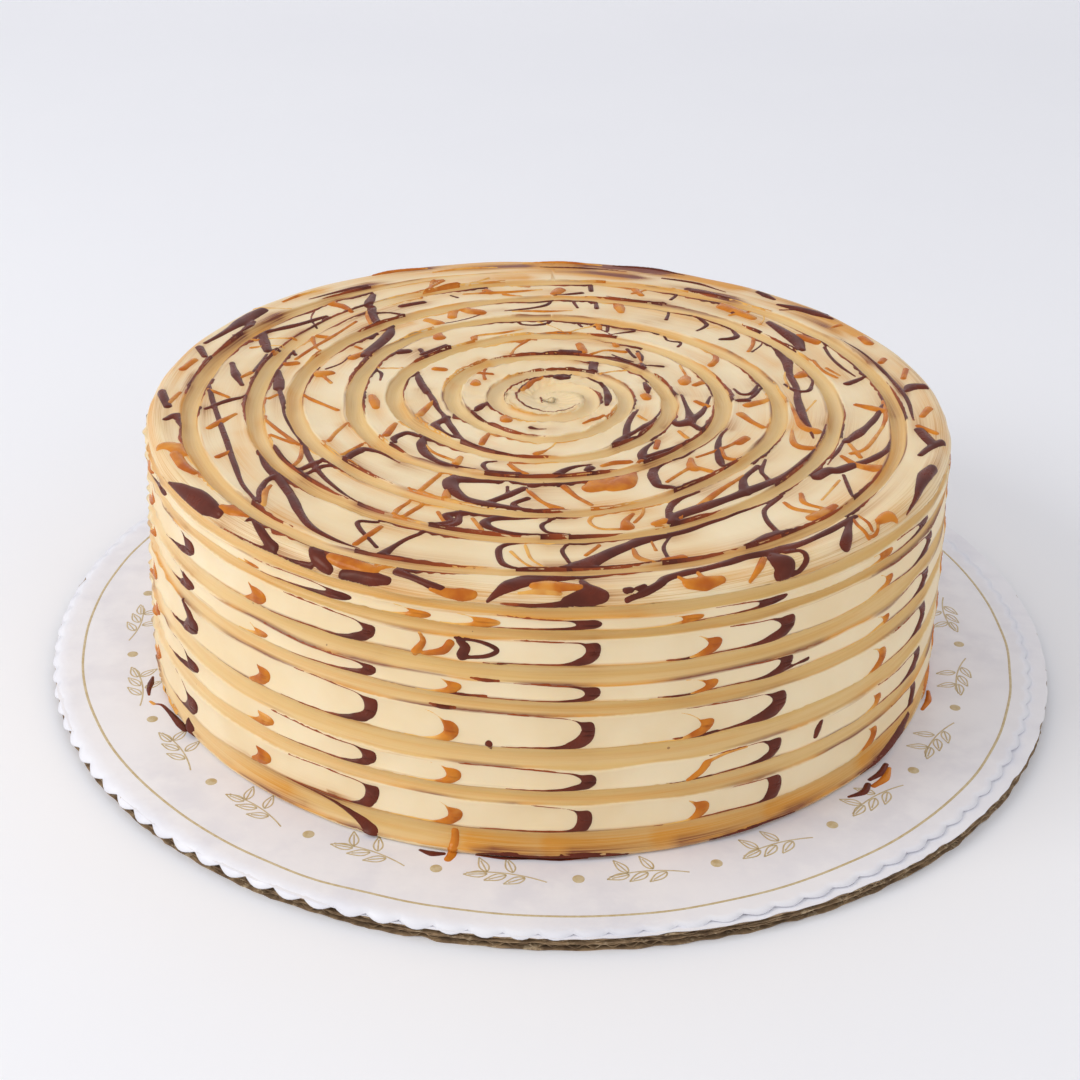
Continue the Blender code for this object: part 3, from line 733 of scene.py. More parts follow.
INNER_STROKES = read_strokes("""
amber 3 4 2.4: 185 60, 189 59.4, 193.6 59.4
dark 1.2: 182.4 63, 187 62.4
amber 2 3 3: 208 57, 210.4 59.6, 213.6 63.2
dark 1.6 3 3 2.6 1.6: 220 54.9, 215.8 56.4, 215.8 59.4, 217 62.4, 219.4 63.8
dark 2.6 3.6 3.6 3.4 3.2 2 0.9: 222.6 55, 225 57.6, 229.5 60.9, 235 63.4, 240 64, 244 63.9, 249 63.3
amber 1.5: 225 57, 233 59.4, 241 60.6
amber 2 3: 241 57.6, 242 61.8
dark 0.9 1.7 1.8 1.3: 252.6 55, 249.7 56.8, 250 59.8, 252.4 63
amber 1.8 2.4 2.6: 257.4 56, 260.2 59, 263.4 61.8
dark 1.6 2.8 2.4: 252.4 63, 256.6 62.6, 261.4 62
dark 0.9 2.2 3 3.4: 284 55.4, 278.6 56.4, 274.8 58.8, 272.4 61.6
dark 2.8 3.4: 281.8 59.4, 283 58
amber 1.8 3.2 2.4: 287 57.4, 291.6 56.2, 296.4 57.2
dark 1 2.2 3 3: 313 49.6, 306.6 51.8, 302.6 54.8, 300.8 58
amber 2.6 4.6: 299.8 58.6, 298.6 61.4
amber 2: 315 49.8, 309.6 53.6
dark 1.8 2.6 1.2: 302.4 57, 309 56.6, 318.6 57
amber 1.6 2.4: 326.4 51, 324 55.2
dark 1.4 2 2.8 4.4 3.4: 361 44.8, 349 47, 341 49.4, 335.8 50.6, 332.6 49
dark 1 2.2 3.2 4.4 4: 361 54.6, 350 52.8, 341 51.4, 335.6 49.8, 332 48
dark 2.6 2.6: 335.2 51, 332 56
dark 1.6 1.8 0.9: 331 56.8, 342 56.8, 356 56.4
amber 1.8 2.6: 355.4 49.6, 352 53.6
amber 3.6 5 3.6: 13.6 47.6, 16.4 48.6, 20 50.4
amber 1.2: 20.6 51, 31.4 53.8
amber 2.4 3.2: 11.4 51, 13.6 54
dark 2 2.6: 36 41, 41.4 43
dark 1.4 1.9 1.9: 44 45, 47.4 48, 51.8 50.8
dark 1.4 1.7: 48.4 45.6, 56.2 49.8
dark 1.2 1.7 1.2: 46 42.4, 52 41.4, 58.4 42.4
amber 3: 61.6 50, 63.2 52
amber 2.4 3.6 3.4: 72 39.6, 74.2 42, 76.6 45.6
dark 2.4 4.4 3: 74 39.4, 77.8 38.6, 84 37.8
amber 3.6: 99 48.6, 101 50
amber 2.2 3.2: 121.8 51.6, 120.2 55
dark 2.4 2.8 2: 133.8 54, 140 54.2, 146 54.6
dark 1.6 2.2: 145 55, 142.8 58
amber 2.6 3.6: 130 36, 132 34.2
amber 3.2: 154.6 41, 155.8 43.6
dark 2.4 3.4 3 1.4: 182 41.6, 174 43.8, 168 46, 163 47.8
amber 3 4.2: 161 26.8, 166 26.2
dark 2 2.4 2.2 2 2.8 2.8 2.2 1.8 1: 178 42.2, 190 39.8, 200 39.6, 208 39.6, 214 40.6, 221 42.4, 229 45,
  236 47, 248 47.4
dark 2.2 3 3.2 2 1: 211.6 39.2, 213.4 42.6, 215.6 45.8, 223 46.8, 234 47
amber 2 2.8 2.6: 192.6 40, 199 43.6, 204.4 47
amber 1.8 2.6 2.6: 239 38.4, 239.8 41.4, 241.4 45
amber 1 1.1 3.2: 273.4 38.4, 269 43.4, 265.4 46.8
dark 1 1.8 2.4 2.8 2.6 2: 338 31.8, 328 32.4, 319 34.4, 312.6 37.4, 308.8 40, 307 42
dark 0.9 1.6 2.4 2.6 2.8 2.4: 361 38.6, 340 39.6, 322 40, 308 41, 300.6 43.2, 297.4 46
dark 1.6 2.4 1.4: 298 46.8, 306 46.8, 313 48
amber 1.7: 330.8 34, 328.4 37.4
amber 3.6 4.4: 356 33, 360 32.6
dark 1.4 3 3.2 1.4: 204 23.6, 206.6 25, 209.4 27, 212 29
dark 1.6 1.2 0.8: 206 23.4, 216 23.2, 226 23.4
amber 3 4.2: 233.4 24.8, 237 26
dark 2.4 1.2 0.8: 257.4 27.4, 262 27.8, 268 27.8
amber 1.4 2.4 2: 297 25, 306 24.4, 317 24.4
dark 3 3.6 3.4: 52 25, 57.4 28, 60.6 31.6
amber 2.4 1.6: 64 22.8, 77 21.6
dark 3.6 4.2: 68 14.8, 78 15
dark 1.6 2.8 2.6 1.6 0.9: 336 21, 350 20, 363 19.6, 383 19.6, 410 18.8
dark 1.4 2.8 1.4: 4 33.6, 10 34, 18 34.2
amber 1.4 2.2 2.4 1.8: 100 14.6, 118 12.4, 134 10.8, 160 10.2
dark 1.2 1.6 0.8: 112 13.4, 140 11.2, 178 11.2
dark 0.9 0.8 1 0.7 0.9 0.5: 180 11.4, 208 12, 233 12.8, 265 14, 290 13.4, 327 12
dark 0.9 0.7: 150 3.4, 232 4.2
""")

# Strokes at the back, where the picture looks along the top.
BACK_STROKES = read_strokes("""
dark 0.8 1.9 1.2: 56 121, 62 122.6, 69 122
amber 1 2.2 1.2: 62 111, 70 109.4, 79 110
dark 0.7 1.5 0.9: 84 108, 91 106, 99 107.6
amber 1 2.4 1.4: 92 98, 100 96, 110 97.6
dark 0.7 1.4 0.8: 62 96, 69 93.4, 77 94.6
amber 0.9 2 1: 50 93, 58 90.4, 67 91.6
amber 0.9 2 1: 84 77, 92 74.6, 101 75
dark 0.7 1.4 0.8: 110 75, 117 72, 125 73
amber 0.8 1.8 1: 100 58, 109 55.6, 119 56
dark 0.7 1.4 0.8: 82 55, 91 52.8, 99 54
dark 0.7 1.4 0.9: 96 35, 107 32.6, 119 33
""")


def web_strokes(count: int, seed: int) -> tuple:
    """Return thin seeded threads of sauce across the lands at the back of the top.

    Args:
        count: The number of threads.
        seed: The seed.

    Returns:
        The strokes.
    """
    draw = random.Random(seed)
    strokes = []
    for _ in range(count):
        start = draw.uniform(25.0, 165.0)
        run = draw.choice((126.0, 108.0, 91.0, 78.0, 60.0, 44.0, 30.0)) + draw.uniform(-2.0, 2.0)
        turn = draw.uniform(200.0, 900.0) / run * draw.choice((-1.0, 1.0))
        reach = draw.uniform(4.0, 7.5)
        wide = draw.uniform(0.6, 1.25)
        sauce = Sauce.CARAMEL if draw.random() < 0.62 else Sauce.CHOCOLATE
        middle = start + 0.35 * turn, run + draw.uniform(-1.5, 1.5)
        path = ((start, run - reach), middle, (start + turn, run + reach))
        strokes.append(Stroke(sauce, (wide * 1.5, wide, wide * 1.9), path))
    return tuple(strokes)


TOP_STROKES = (RIM_STROKES + BAND_ONE + BAND_TWO + BAND_THREE + INNER_STROKES + BACK_STROKES
               + web_strokes(30, 5))

# Loose strokes on the side, as angle in degrees and share of the cake's height.
SIDE_STROKES = read_strokes("""
amber 1.2 2 2.6 1.4: 254.8 0.822, 255.2 0.79, 254.2 0.75, 253.9 0.732
dark 1 1.4 1.7 1.4 1.2: 259.2 0.822, 262.2 0.816, 264.2 0.792, 263 0.768, 260.4 0.756
dark 1.8 3.4 3: 259.6 0.812, 260.4 0.789, 259.9 0.762
amber 2.6 2.6 1.4: 258.6 0.8, 257.6 0.768, 255.2 0.75
dark 2.4 3.2 2.4: 308.1 0.345, 307.8 0.322, 307.6 0.3
amber 3 2.6 1.6: 290.8 0.326, 290 0.3, 288.4 0.278
amber 1.4 1.2 1: 291.2 0.335, 293.6 0.35, 296.4 0.353
dark 2.4 1.8 0.6: 263.4 0.438, 263.5 0.425, 263.6 0.412
dark 0.5 1.3 0.6: 262.6 0.746, 264.4 0.74, 266 0.746
dark 0.5 1.1 0.6: 261 0.684, 263 0.68, 264.5 0.682
dark 0.5 1.4 0.6: 257.4 0.62, 260 0.616, 263 0.622
dark 0.5 1.3 0.6: 255.8 0.556, 257.6 0.552, 259.2 0.556
dark 0.5 1.2 0.6: 284.6 0.747, 287.4 0.742, 288.6 0.747
dark 0.5 1.4 0.8: 283.8 0.619, 287.6 0.611, 288.8 0.618
dark 0.5 1.2 0.6: 286 0.438, 289.8 0.432, 292 0.438
dark 0.5 1.2 0.6: 285.6 0.277, 289.4 0.272, 291.4 0.277
dark 1.6 1 1.4: 300.4 0.627, 302.6 0.632, 304.8 0.637
dark 2.4 4.4 3: 213.4 0.655, 214.6 0.63, 213 0.618
dark 2.6 4.8 3.2: 213 0.535, 214.8 0.495, 213.4 0.452
dark 0.8 1 1.4 3 4.4: 236 0.1, 240 0.09, 243 0.074, 246.6 0.04, 248.2 0.014
amber 2.4 2.8 3: 259.2 0.074, 259.2 0.04, 259 0.006
dark 0.8 1.8 1.4 2 1: 262 0.006, 266 0.012, 270 0.008, 275 0.012, 281 0.006
dark 0.8 1.8 2.4 1.6: 318 0.008, 324 0.016, 330 0.026, 334 0.034
dark 2 3.4 1.6: 212 0.03, 214 0.014, 215 0.006
dark 1 1.6 1: 292 0.006, 298 0.012, 305 0.008
amber 1 1.8 1.2: 200 0.014, 205 0.01, 209 0.014
amber 1.2 2 1.4: 340 0.01, 346 0.016, 351 0.008
""")

# Splashes on the liner, as angle in degrees and distance from the cake's middle in millimetres.
LINER_STROKES = read_strokes("""
amber 3 3 2.6: 259 136.4, 259 138.6, 258.8 140.6
dark 1.2 2.8 1.6: 255 138.6, 256.6 139.2, 258 138.4
dark 0.8 1.6 1.1 1.4 0.6: 262 136.9, 265.5 137.2, 269 136.7, 272.5 137, 276 136.5
dark 1.2 2.8 2.2: 313.4 140.8, 315.6 142.4, 317.4 141
dark 1.6 2.6 2: 318.4 140, 320.6 140.6, 322.8 139.6
amber 2 3 1.4: 317.6 142.8, 320 143.2, 322.4 141.4
dark 1 2.4 1.8 1: 197.8 140.2, 199.4 141.4, 200.8 142.6, 202.2 143.2
dark 0.8 1.3 1.6 2.2 3 2.6: 204.6 142.6, 205.2 140.6, 206.8 139.6, 208.6 139, 210.8 138.6, 212.4 138.2
amber 1.2 1.5: 203.8 143.6, 204.6 142.8
amber 1.4 2.4 1.4: 338 138.6, 340.6 139.4, 343 138.6
dark 1.2 2.2 1.2: 28 139.4, 31 140.2, 34 139
dark 1.4 2.6 1.4: 118 139, 121 140.6, 123 139.2
amber 1.4 2.6 1.4: 75 138.6, 77.6 140.2, 80 138.8
""")


class Graph:
    """Short calls for laying out one node tree."""

    def __init__(self, tree: bpy.types.NodeTree) -> None:
        """Keep the tree to lay out."""
        self.tree = tree

    def fill(self, node: bpy.types.Node, given: dict) -> None:
        """Link sockets to a node's inputs, and set the inputs that take a plain value.

        Args:
            node: The node.
            given: What its inputs take, by name or number.
        """
        for key, value in given.items():
            if isinstance(value, bpy.types.NodeSocket):
                self.tree.links.new(value, node.inputs[key])
            else:
                node.inputs[key].default_value = value

    def add(self, kind: str, given: dict | None = None, **settings) -> bpy.types.Node:
        """Add a node.

        Args:
            kind: The node's type.
            given: What its inputs take, by name or number.
            **settings: The node's own options.

        Returns:
            The new node.
        """
        node = self.tree.nodes.new(kind)
        for name, value in settings.items():
            setattr(node, name, value)
        self.fill(node, given or {})
        return node

    def math(self, operation: str, *values: Feed, clamp: bool = False) -> Socket:
        """Return a Math node's value.

        Args:
            operation: The operation's name.
            *values: What it works on.
            clamp: Whether the value is kept from 0 to 1.

        Returns:
            The output socket.
        """
        given = dict(enumerate(values))
        return self.add("ShaderNodeMath", given, operation=operation, use_clamp=clamp).outputs[0]

    def times(self, first: Feed, second: Feed, clamp: bool = False) -> Socket:
        """Return the product of two values."""
        return self.math("MULTIPLY", first, second, clamp=clamp)

    def mix(self, share: Feed, first: Feed, second: Feed) -> Socket:
        """Return a mix of two colours.

        Args:
            share: The share of the second colour.
            first: The first colour.
            second: The second colour.

        Returns:
            The colour socket.
        """
        given = {"Factor": share, 6: first, 7: second}
        return self.add("ShaderNodeMix", given, data_type="RGBA").outputs[2]

    def between(self, value: Feed, low: float, high: float, start: float = 0.0,
                end: float = 1.0) -> Socket:
        """Return a smooth rise from start to end while the value goes from low to high.

        Args:
            value: The value to read.
            low: Where the rise starts.
            high: Where the rise ends.
            start: The value before the rise.
            end: The value after the rise.

        Returns:
            The output socket.
        """
        given = {"Value": value, "From Min": low, "From Max": high, "To Min": start, "To Max": end}
        return self.add("ShaderNodeMapRange", given, interpolation_type="SMOOTHSTEP").outputs["Result"]

    def place(self) -> Socket:
        """Return the place on the object, in metres."""
        return self.add("ShaderNodeTexCoord").outputs["Object"]

    def scaled_place(self, scale: Feed) -> Socket:
        """Return the place on the object times a scale."""
        given = {0: self.place(), "Scale": scale}
        return self.add("ShaderNodeVectorMath", given, operation="SCALE").outputs[0]

    def noise(self, scale: float, detail: float = 3.0, rough: float = 0.5, vector: Feed | None = None,
              along: Feed | None = None) -> Socket:
        """Return a noise value.

        Args:
            scale: The noise's scale.
            detail: The number of octaves.
            rough: How strong the finer octaves are.
            vector: The coordinates, or None for the place on the object.
            along: A fourth coordinate, or None.

        Returns:
            The output socket.
        """
        given = {"Vector": self.place() if vector is None else vector,
                 "Scale": scale, "Detail": detail, "Roughness": rough}
        if along is None:
            return self.add("ShaderNodeTexNoise", given).outputs["Fac"]
        return self.add("ShaderNodeTexNoise", {**given, "W": along}, noise_dimensions="4D").outputs["Fac"]

    def field(self, name: str) -> Socket:
        """Return a value kept on the mesh's points."""
        return self.add("ShaderNodeAttribute", attribute_name=name).outputs["Fac"]

    def bump(self, height: Feed, strength: float, distance: float, normal: Feed | None = None) -> Socket:
        """Return a normal raised by a height.

        Args:
            height: The height.
            strength: The strength of the bump.
            distance: The height's scale in metres.
            normal: A normal to build on, or None.

        Returns:
            The normal socket.
        """
        given = {"Strength": strength, "Distance": distance, "Height": height}
        if normal is not None:
            given["Normal"] = normal
        return self.add("ShaderNodeBump", given).outputs["Normal"]

    def use(self, group: bpy.types.NodeTree, output: str, **values: Feed) -> Socket:
        """Place a node group and return one of its outputs.

        Args:
            group: The group's tree.
            output: The output's name.
            **values: What its inputs take.

        Returns:
            The output socket.
        """
        return self.add("ShaderNodeGroup", values, node_tree=group).outputs[output]


class Effects:
    """The surface effects that several finishes share, each a node group built once."""

    def __init__(self) -> None:
        """Build the groups."""
        self.grain = self._grain()
        self.mottle = self._mottle()
        self.streaks = self._streaks()
        self.pits = self._pits()

    @staticmethod
    def _start(name: str, **inputs: float) -> tuple:
        """Start a group.

        Args:
            name: The group's name.
            **inputs: Its inputs' default values.

        Returns:
            The group's graph and the sockets of its inputs.
        """
        tree = bpy.data.node_groups.new(name, "ShaderNodeTree")
        for label, value in inputs.items():
            socket = tree.interface.new_socket(label, in_out="INPUT", socket_type="NodeSocketFloat")
            socket.default_value = value
        graph = Graph(tree)
        return graph, graph.add("NodeGroupInput").outputs

    @staticmethod
    def _end(graph: Graph, **results: Socket) -> bpy.types.NodeTree:
        """Give a group its outputs.

        Args:
            graph: The group's graph.
            **results: What its outputs take.

        Returns:
            The group's tree.
        """
        for label in results:
            graph.tree.interface.new_socket(label, in_out="OUTPUT", socket_type="NodeSocketFloat")
        graph.add("NodeGroupOutput", results)
        return graph.tree

    def _grain(self) -> bpy.types.NodeTree:
        """Build the fine grain: a height from two sizes of noise."""
        graph, given = self._start("fine_grain", Scale=900.0)
        place = graph.scaled_place(given["Scale"])
        fine = graph.noise(1.0, 4.0, 0.6, place)
        coarse = graph.noise(0.23, 2.0, 0.5, place)
        return self._end(graph, Height=graph.math("ADD", graph.times(fine, 0.6), coarse))

    def _mottle(self) -> bpy.types.NodeTree:
        """Build the mottle: a soft uneven tone from 0 to 1."""
        graph, given = self._start("soft_mottle", Scale=40.0)
        tone = graph.noise(1.0, 3.0, 0.55, graph.scaled_place(given["Scale"]))
        return self._end(graph, Tone=graph.between(tone, 0.30, 0.70))

    def _streaks(self) -> bpy.types.NodeTree:
        """Build streaks that run round the cake and change only slowly along their way."""
        graph, given = self._start("comb_streaks", Across=0.0, Fineness=900.0)
        flat = graph.add("ShaderNodeVectorMath", {0: graph.place(), 1: (1.0, 1.0, 0.0)}, operation="MULTIPLY")
        way = graph.add("ShaderNodeVectorMath", {0: flat.outputs[0]}, operation="NORMALIZE").outputs[0]
        across = graph.times(given["Across"], given["Fineness"])
        return self._end(graph, Fine=graph.noise(3.2, 3.0, 0.6, way, across),
                         Broad=graph.noise(1.7, 2.0, 0.5, way, graph.times(across, 0.3)))

    def _pits(self) -> bpy.types.NodeTree:
        """Build scattered small air holes: 1 in a hole and 0 elsewhere."""
        graph, given = self._start("air_pits", Scale=210.0, Share=0.10)
        place = graph.scaled_place(given["Scale"])
        cells = graph.add("ShaderNodeTexVoronoi", {"Vector": place, "Scale": 1.0}).outputs
        drawn = graph.add("ShaderNodeSeparateColor", {0: cells["Color"]}).outputs
        chosen = graph.math("LESS_THAN", drawn[0], given["Share"])
        size = graph.math("MULTIPLY_ADD", drawn[1], 0.09, 0.03)
        near = graph.math("LESS_THAN", cells["Distance"], size)
        return self._end(graph, Hole=graph.times(chosen, near))


def new_material(name: str) -> tuple:
    """Start a material.

    Args:
        name: The material's name.

    Returns:
        The material, its graph and its Principled BSDF.
    """
    material = bpy.data.materials.new(name)
    material.use_nodes = True
    return material, Graph(material.node_tree), material.node_tree.nodes["Principled BSDF"]


@dataclass(frozen=True)
class FrostingFinish:
    """Caramel buttercream: pale standing bands and grooves tanned by smeared caramel."""

    land: tuple = srgb(243, 222, 183)
    land_warm: tuple = srgb(236, 208, 160)
    groove: tuple = srgb(225, 187, 117)
    groove_dark: tuple = srgb(204, 159, 88)
    amber: tuple = srgb(222, 154, 54)
    brown: tuple = srgb(124, 60, 34)
    roughness: float = 0.46

    def build(self, effects: Effects) -> bpy.types.Material:
        """Build the finish.

        Args:
            effects: The shared node groups.

        Returns:
            The material.
        """
        material, graph, shader = new_material("frosting")
        groove, comb, rim = (graph.field(name) for name in ("groove", "comb", "rim"))
        streaks = graph.add("ShaderNodeGroup", {"Across": graph.field("across")}, node_tree=effects.streaks)
        fine, broad = streaks.outputs["Fine"], streaks.outputs["Broad"]
        mottle = graph.use(effects.mottle, "Tone", Scale=34.0)
        land = graph.mix(graph.times(mottle, 0.7), self.land, self.land_warm)
        combed = graph.times(graph.between(fine, 0.50, 0.62), rim)
        land = graph.mix(graph.times(combed, 0.55), land, self.groove_dark)
        dark = graph.times(graph.between(fine, 0.42, 0.72), comb)
        tan = graph.mix(graph.times(dark, 0.3), self.groove, self.groove_dark)
        tan = graph.mix(graph.times(graph.between(broad, 0.35, 0.65), 0.30), tan, self.land_warm)
        # The groove field also carries painted light: the side's grooves are paler where they face the key
        # light.
        colour = graph.mix(groove, land, tan)
        patchy = graph.math("ADD", graph.times(graph.between(fine, 0.34, 0.62), 0.60), 0.60)
        # The amber field also holds the side's painted shade bands along the level grooves.
        amber = graph.times(graph.field("amber"), patchy, clamp=True)
        stain = graph.times(graph.field("brown"), patchy, clamp=True)
        # A brown smear thins out into amber before the frosting shows.
        halo = graph.math("MAXIMUM", amber, graph.times(stain, 0.85))
        colour = graph.mix(halo, colour, self.amber)
        colour = graph.mix(graph.math("POWER", stain, 1.6), colour, self.brown)
        line = graph.times(graph.field("edge"), graph.between(broad, 0.46, 0.58))
        sauce = graph.mix(graph.between(graph.noise(31.0), 0.42, 0.56), self.amber, self.brown)
        colour = graph.mix(line, colour, sauce)
        # Painted shade: the air holes in the grooves are mixed part way to brown.
        hole = graph.times(graph.use(effects.pits, "Hole"), groove)
        colour = graph.mix(graph.times(hole, 0.6), colour, self.brown)
        normal = graph.bump(graph.use(effects.grain, "Height", Scale=1500.0), 0.35, 0.00012)
        ridged = graph.math("ADD", groove, graph.math("ADD", rim, 0.25))
        normal = graph.bump(graph.times(graph.times(fine, ridged), comb), 0.30, 0.00040, normal)
        normal = graph.bump(graph.math("SUBTRACT", 1.0, hole), 0.6, 0.0004, normal)
        graph.fill(shader, {
            "Base Color": colour,
            "Roughness": graph.math("MULTIPLY_ADD", fine, 0.16, self.roughness - 0.08),
            "Subsurface Weight": 0.18,
            "Subsurface Radius": (1.0, 0.62, 0.32),
            "Subsurface Scale": 0.003,
            "Specular IOR Level": 0.42,
            "Normal": graph.bump(graph.noise(95.0), 0.45, 0.0009, normal),
        })
        return material


@dataclass(frozen=True)
class SauceFinish:
    """A poured sauce: paler where it is thin, glossy where it stands."""

    name: str
    thin: tuple
    thick: tuple
    deep: tuple
    roughness: float
    flow: float
    flow_scale: float = 70.0

    def build(self, effects: Effects) -> bpy.types.Material:
        """Build the finish.

        Args:
            effects: The shared node groups.

        Returns:
            The material.
        """
        material, graph, shader = new_material(self.name)
        mottle = graph.use(effects.mottle, "Tone", Scale=120.0)
        thick = graph.mix(graph.times(mottle, 0.9), self.thick, self.deep)
        flow = graph.use(effects.mottle, "Tone", Scale=self.flow_scale)
        share = graph.math("MULTIPLY_ADD", flow, self.flow, 1.0 - 0.5 * self.flow)
        body = graph.between(graph.times(graph.field("body"), share), 0.05, 0.75)
        grain = graph.use(effects.grain, "Height", Scale=420.0)
        graph.fill(shader, {
            "Base Color": graph.mix(body, self.thin, thick),
            "Roughness": graph.math("MULTIPLY_ADD", mottle, 0.12, self.roughness - 0.06),
            "Specular IOR Level": 0.20,
            "Specular Tint": (1.0, 0.86, 0.74, 1.0),
            "Normal": graph.bump(grain, 0.30, 0.0003),
        })
        return material


CHOCOLATE_FINISH = SauceFinish(
    "chocolate", srgb(156, 74, 36), srgb(106, 46, 32), srgb(82, 36, 28), 0.30, 0.6)
CARAMEL_FINISH = SauceFinish(
    "caramel", srgb(236, 184, 100), srgb(212, 132, 42), srgb(174, 86, 26), 0.18, 1.1)


@dataclass(frozen=True)
class PaperFinish:
    """The liner's white greaseproof paper, and the card's white top."""

    name: str
    white: tuple = srgb(238, 237, 242)
    damp: tuple = srgb(222, 221, 230)

    def build(self, effects: Effects) -> bpy.types.Material:
        """Build the finish.

        Args:
            effects: The shared node groups.

        Returns:
            The material.
        """
        material, graph, shader = new_material(self.name)
        mottle = graph.use(effects.mottle, "Tone", Scale=90.0)
        broad = graph.use(effects.mottle, "Tone", Scale=22.0)
        share = graph.times(graph.times(mottle, broad), 0.7)
        normal = graph.bump(graph.use(effects.grain, "Height", Scale=700.0), 0.25, 0.0002)
        graph.fill(shader, {
            "Base Color": graph.mix(share, self.white, self.damp),
            "Roughness": graph.between(mottle, 0.0, 1.0, 0.40, 0.58),
            "Normal": graph.bump(broad, 0.25, 0.0006, normal),
        })
        return material


@dataclass(frozen=True)
class InkFinish:
    """The liner's dull gold print."""

    ink: tuple = srgb(190, 168, 124)
    worn: tuple = srgb(206, 190, 156)

    def build(self, effects: Effects) -> bpy.types.Material:
        """Build the finish.

        Args:
            effects: The shared node groups.

        Returns:
            The material.
        """
        material, graph, shader = new_material("gold_print")
        tone = graph.use(effects.mottle, "Tone", Scale=600.0)
        graph.fill(shader, {"Base Color": graph.mix(tone, self.ink, self.worn),
                            "Roughness": graph.between(tone, 0.0, 1.0, 0.42, 0.60)})
        return material


@dataclass(frozen=True)
class KraftFinish:
    """Brown corrugated board with fibres and darker flecks."""

    brown: tuple = srgb(168, 140, 106)
    dark: tuple = srgb(112, 88, 64)
    light: tuple = srgb(206, 184, 150)

    def build(self, effects: Effects) -> bpy.types.Material:
        """Build the finish.

        Args:
            effects: The shared node groups.

        Returns:
            The material.
        """
        material, graph, shader = new_material("kraft_board")
        tone = graph.use(effects.mottle, "Tone", Scale=260.0)
        fibre = graph.use(effects.grain, "Height", Scale=1100.0)
        board = graph.mix(tone, self.brown, self.dark)
        graph.fill(shader, {
            "Base Color": graph.mix(graph.between(fibre, 0.86, 1.05), board, self.light),
            "Roughness": graph.between(tone, 0.0, 1.0, 0.78, 0.92),
            "Normal": graph.bump(fibre, 0.5, 0.0003),
        })
        return material


def closed_rows(rows: int, columns: int) -> Array:
    """Return point numbers, rows by columns, with the first column again at the end."""
    numbers = np.arange(rows * columns).reshape(rows, columns)
    return np.concatenate([numbers, numbers[:, :1]], axis=1)


def grid_quads(numbers: Array) -> Array:
    """Return the quads of a grid of point numbers, rows by columns."""
    quads = np.stack([numbers[:-1, :-1], numbers[1:, :-1], numbers[1:, 1:], numbers[:-1, 1:]], axis=-1)
    return quads.reshape(-1, 4)


def join_parts(parts: list) -> tuple:
    """Join several meshes.

    Args:
        parts: The points and the faces of each mesh.

    Returns:
        The points and the faces of them all.
    """
    points, faces, count = [], [], 0
    for block, quads in parts:
        points.append(block)
        faces += [quad + count for quad in quads]
        count += len(block)
    return np.concatenate(points), faces


def new_piece(name: str, points: Array, faces: list, material: bpy.types.Material,
              values: dict | None = None) -> bpy.types.Object:
    """Make a smooth mesh object from arrays.

    Args:
        name: The object's name.
        points: The points, a row each.
        faces: Arrays of faces, each with one number of corners.
        material: Its material.
        values: Named values for the points.

    Returns:
        The object.
    """
    mesh = bpy.data.meshes.new(name)
    corners = np.concatenate([block.ravel() for block in faces])
    counts = np.concatenate([np.full(len(block), block.shape[1]) for block in faces])
    starts = np.concatenate(([0], np.cumsum(counts)[:-1]))
    mesh.vertices.add(len(points))
    mesh.vertices.foreach_set("co", np.asarray(points, np.float32).ravel())
    mesh.loops.add(len(corners))
    mesh.loops.foreach_set("vertex_index", corners.astype(np.int32))
    mesh.polygons.add(len(counts))
    mesh.polygons.foreach_set("loop_start", starts.astype(np.int32))
    mesh.update(calc_edges=True)
    mesh.validate()
    mesh.shade_smooth()
    for label, row in (values or {}).items():
        kept = mesh.attributes.new(label, "FLOAT", "POINT")
        kept.data.foreach_set("value", np.asarray(row, np.float32).ravel())
    mesh.materials.append(material)
    item = bpy.data.objects.new(name, mesh)
    bpy.context.scene.collection.objects.link(item)
    return item


def triangle_count(item: bpy.types.Object) -> int:
    """Return how many triangles a mesh object has."""
    return sum(len(face.vertices) - 2 for face in item.data.polygons)


@dataclass(frozen=True)
class StainOrShadeBand:
    """A thin smear that the comb dragged along a groove, or a band of painted shade along one, fading away
    from its start.
    """

    angle: float
    tail: float
    run: float
    spread: float
    strength: float

    def cover(self, angle: Array, run: Array) -> Array:
        """Return how strongly the smear covers some places.

        Args:
            angle: Angles in degrees.
            run: Runs in metres.

        Returns:
            The cover from 0 to 1.
        """
        away = (angle - self.angle + 180.0) % 360.0 - 180.0
        along = away / self.tail
        onset = np.exp(along * abs(self.tail) * 0.4)
        faded = np.where(along >= 0.0, np.clip(1.0 - along, 0.0, 1.0) ** 1.3, onset)
        return self.strength * faded * np.exp(-(((run - self.run) / self.spread) ** 2))


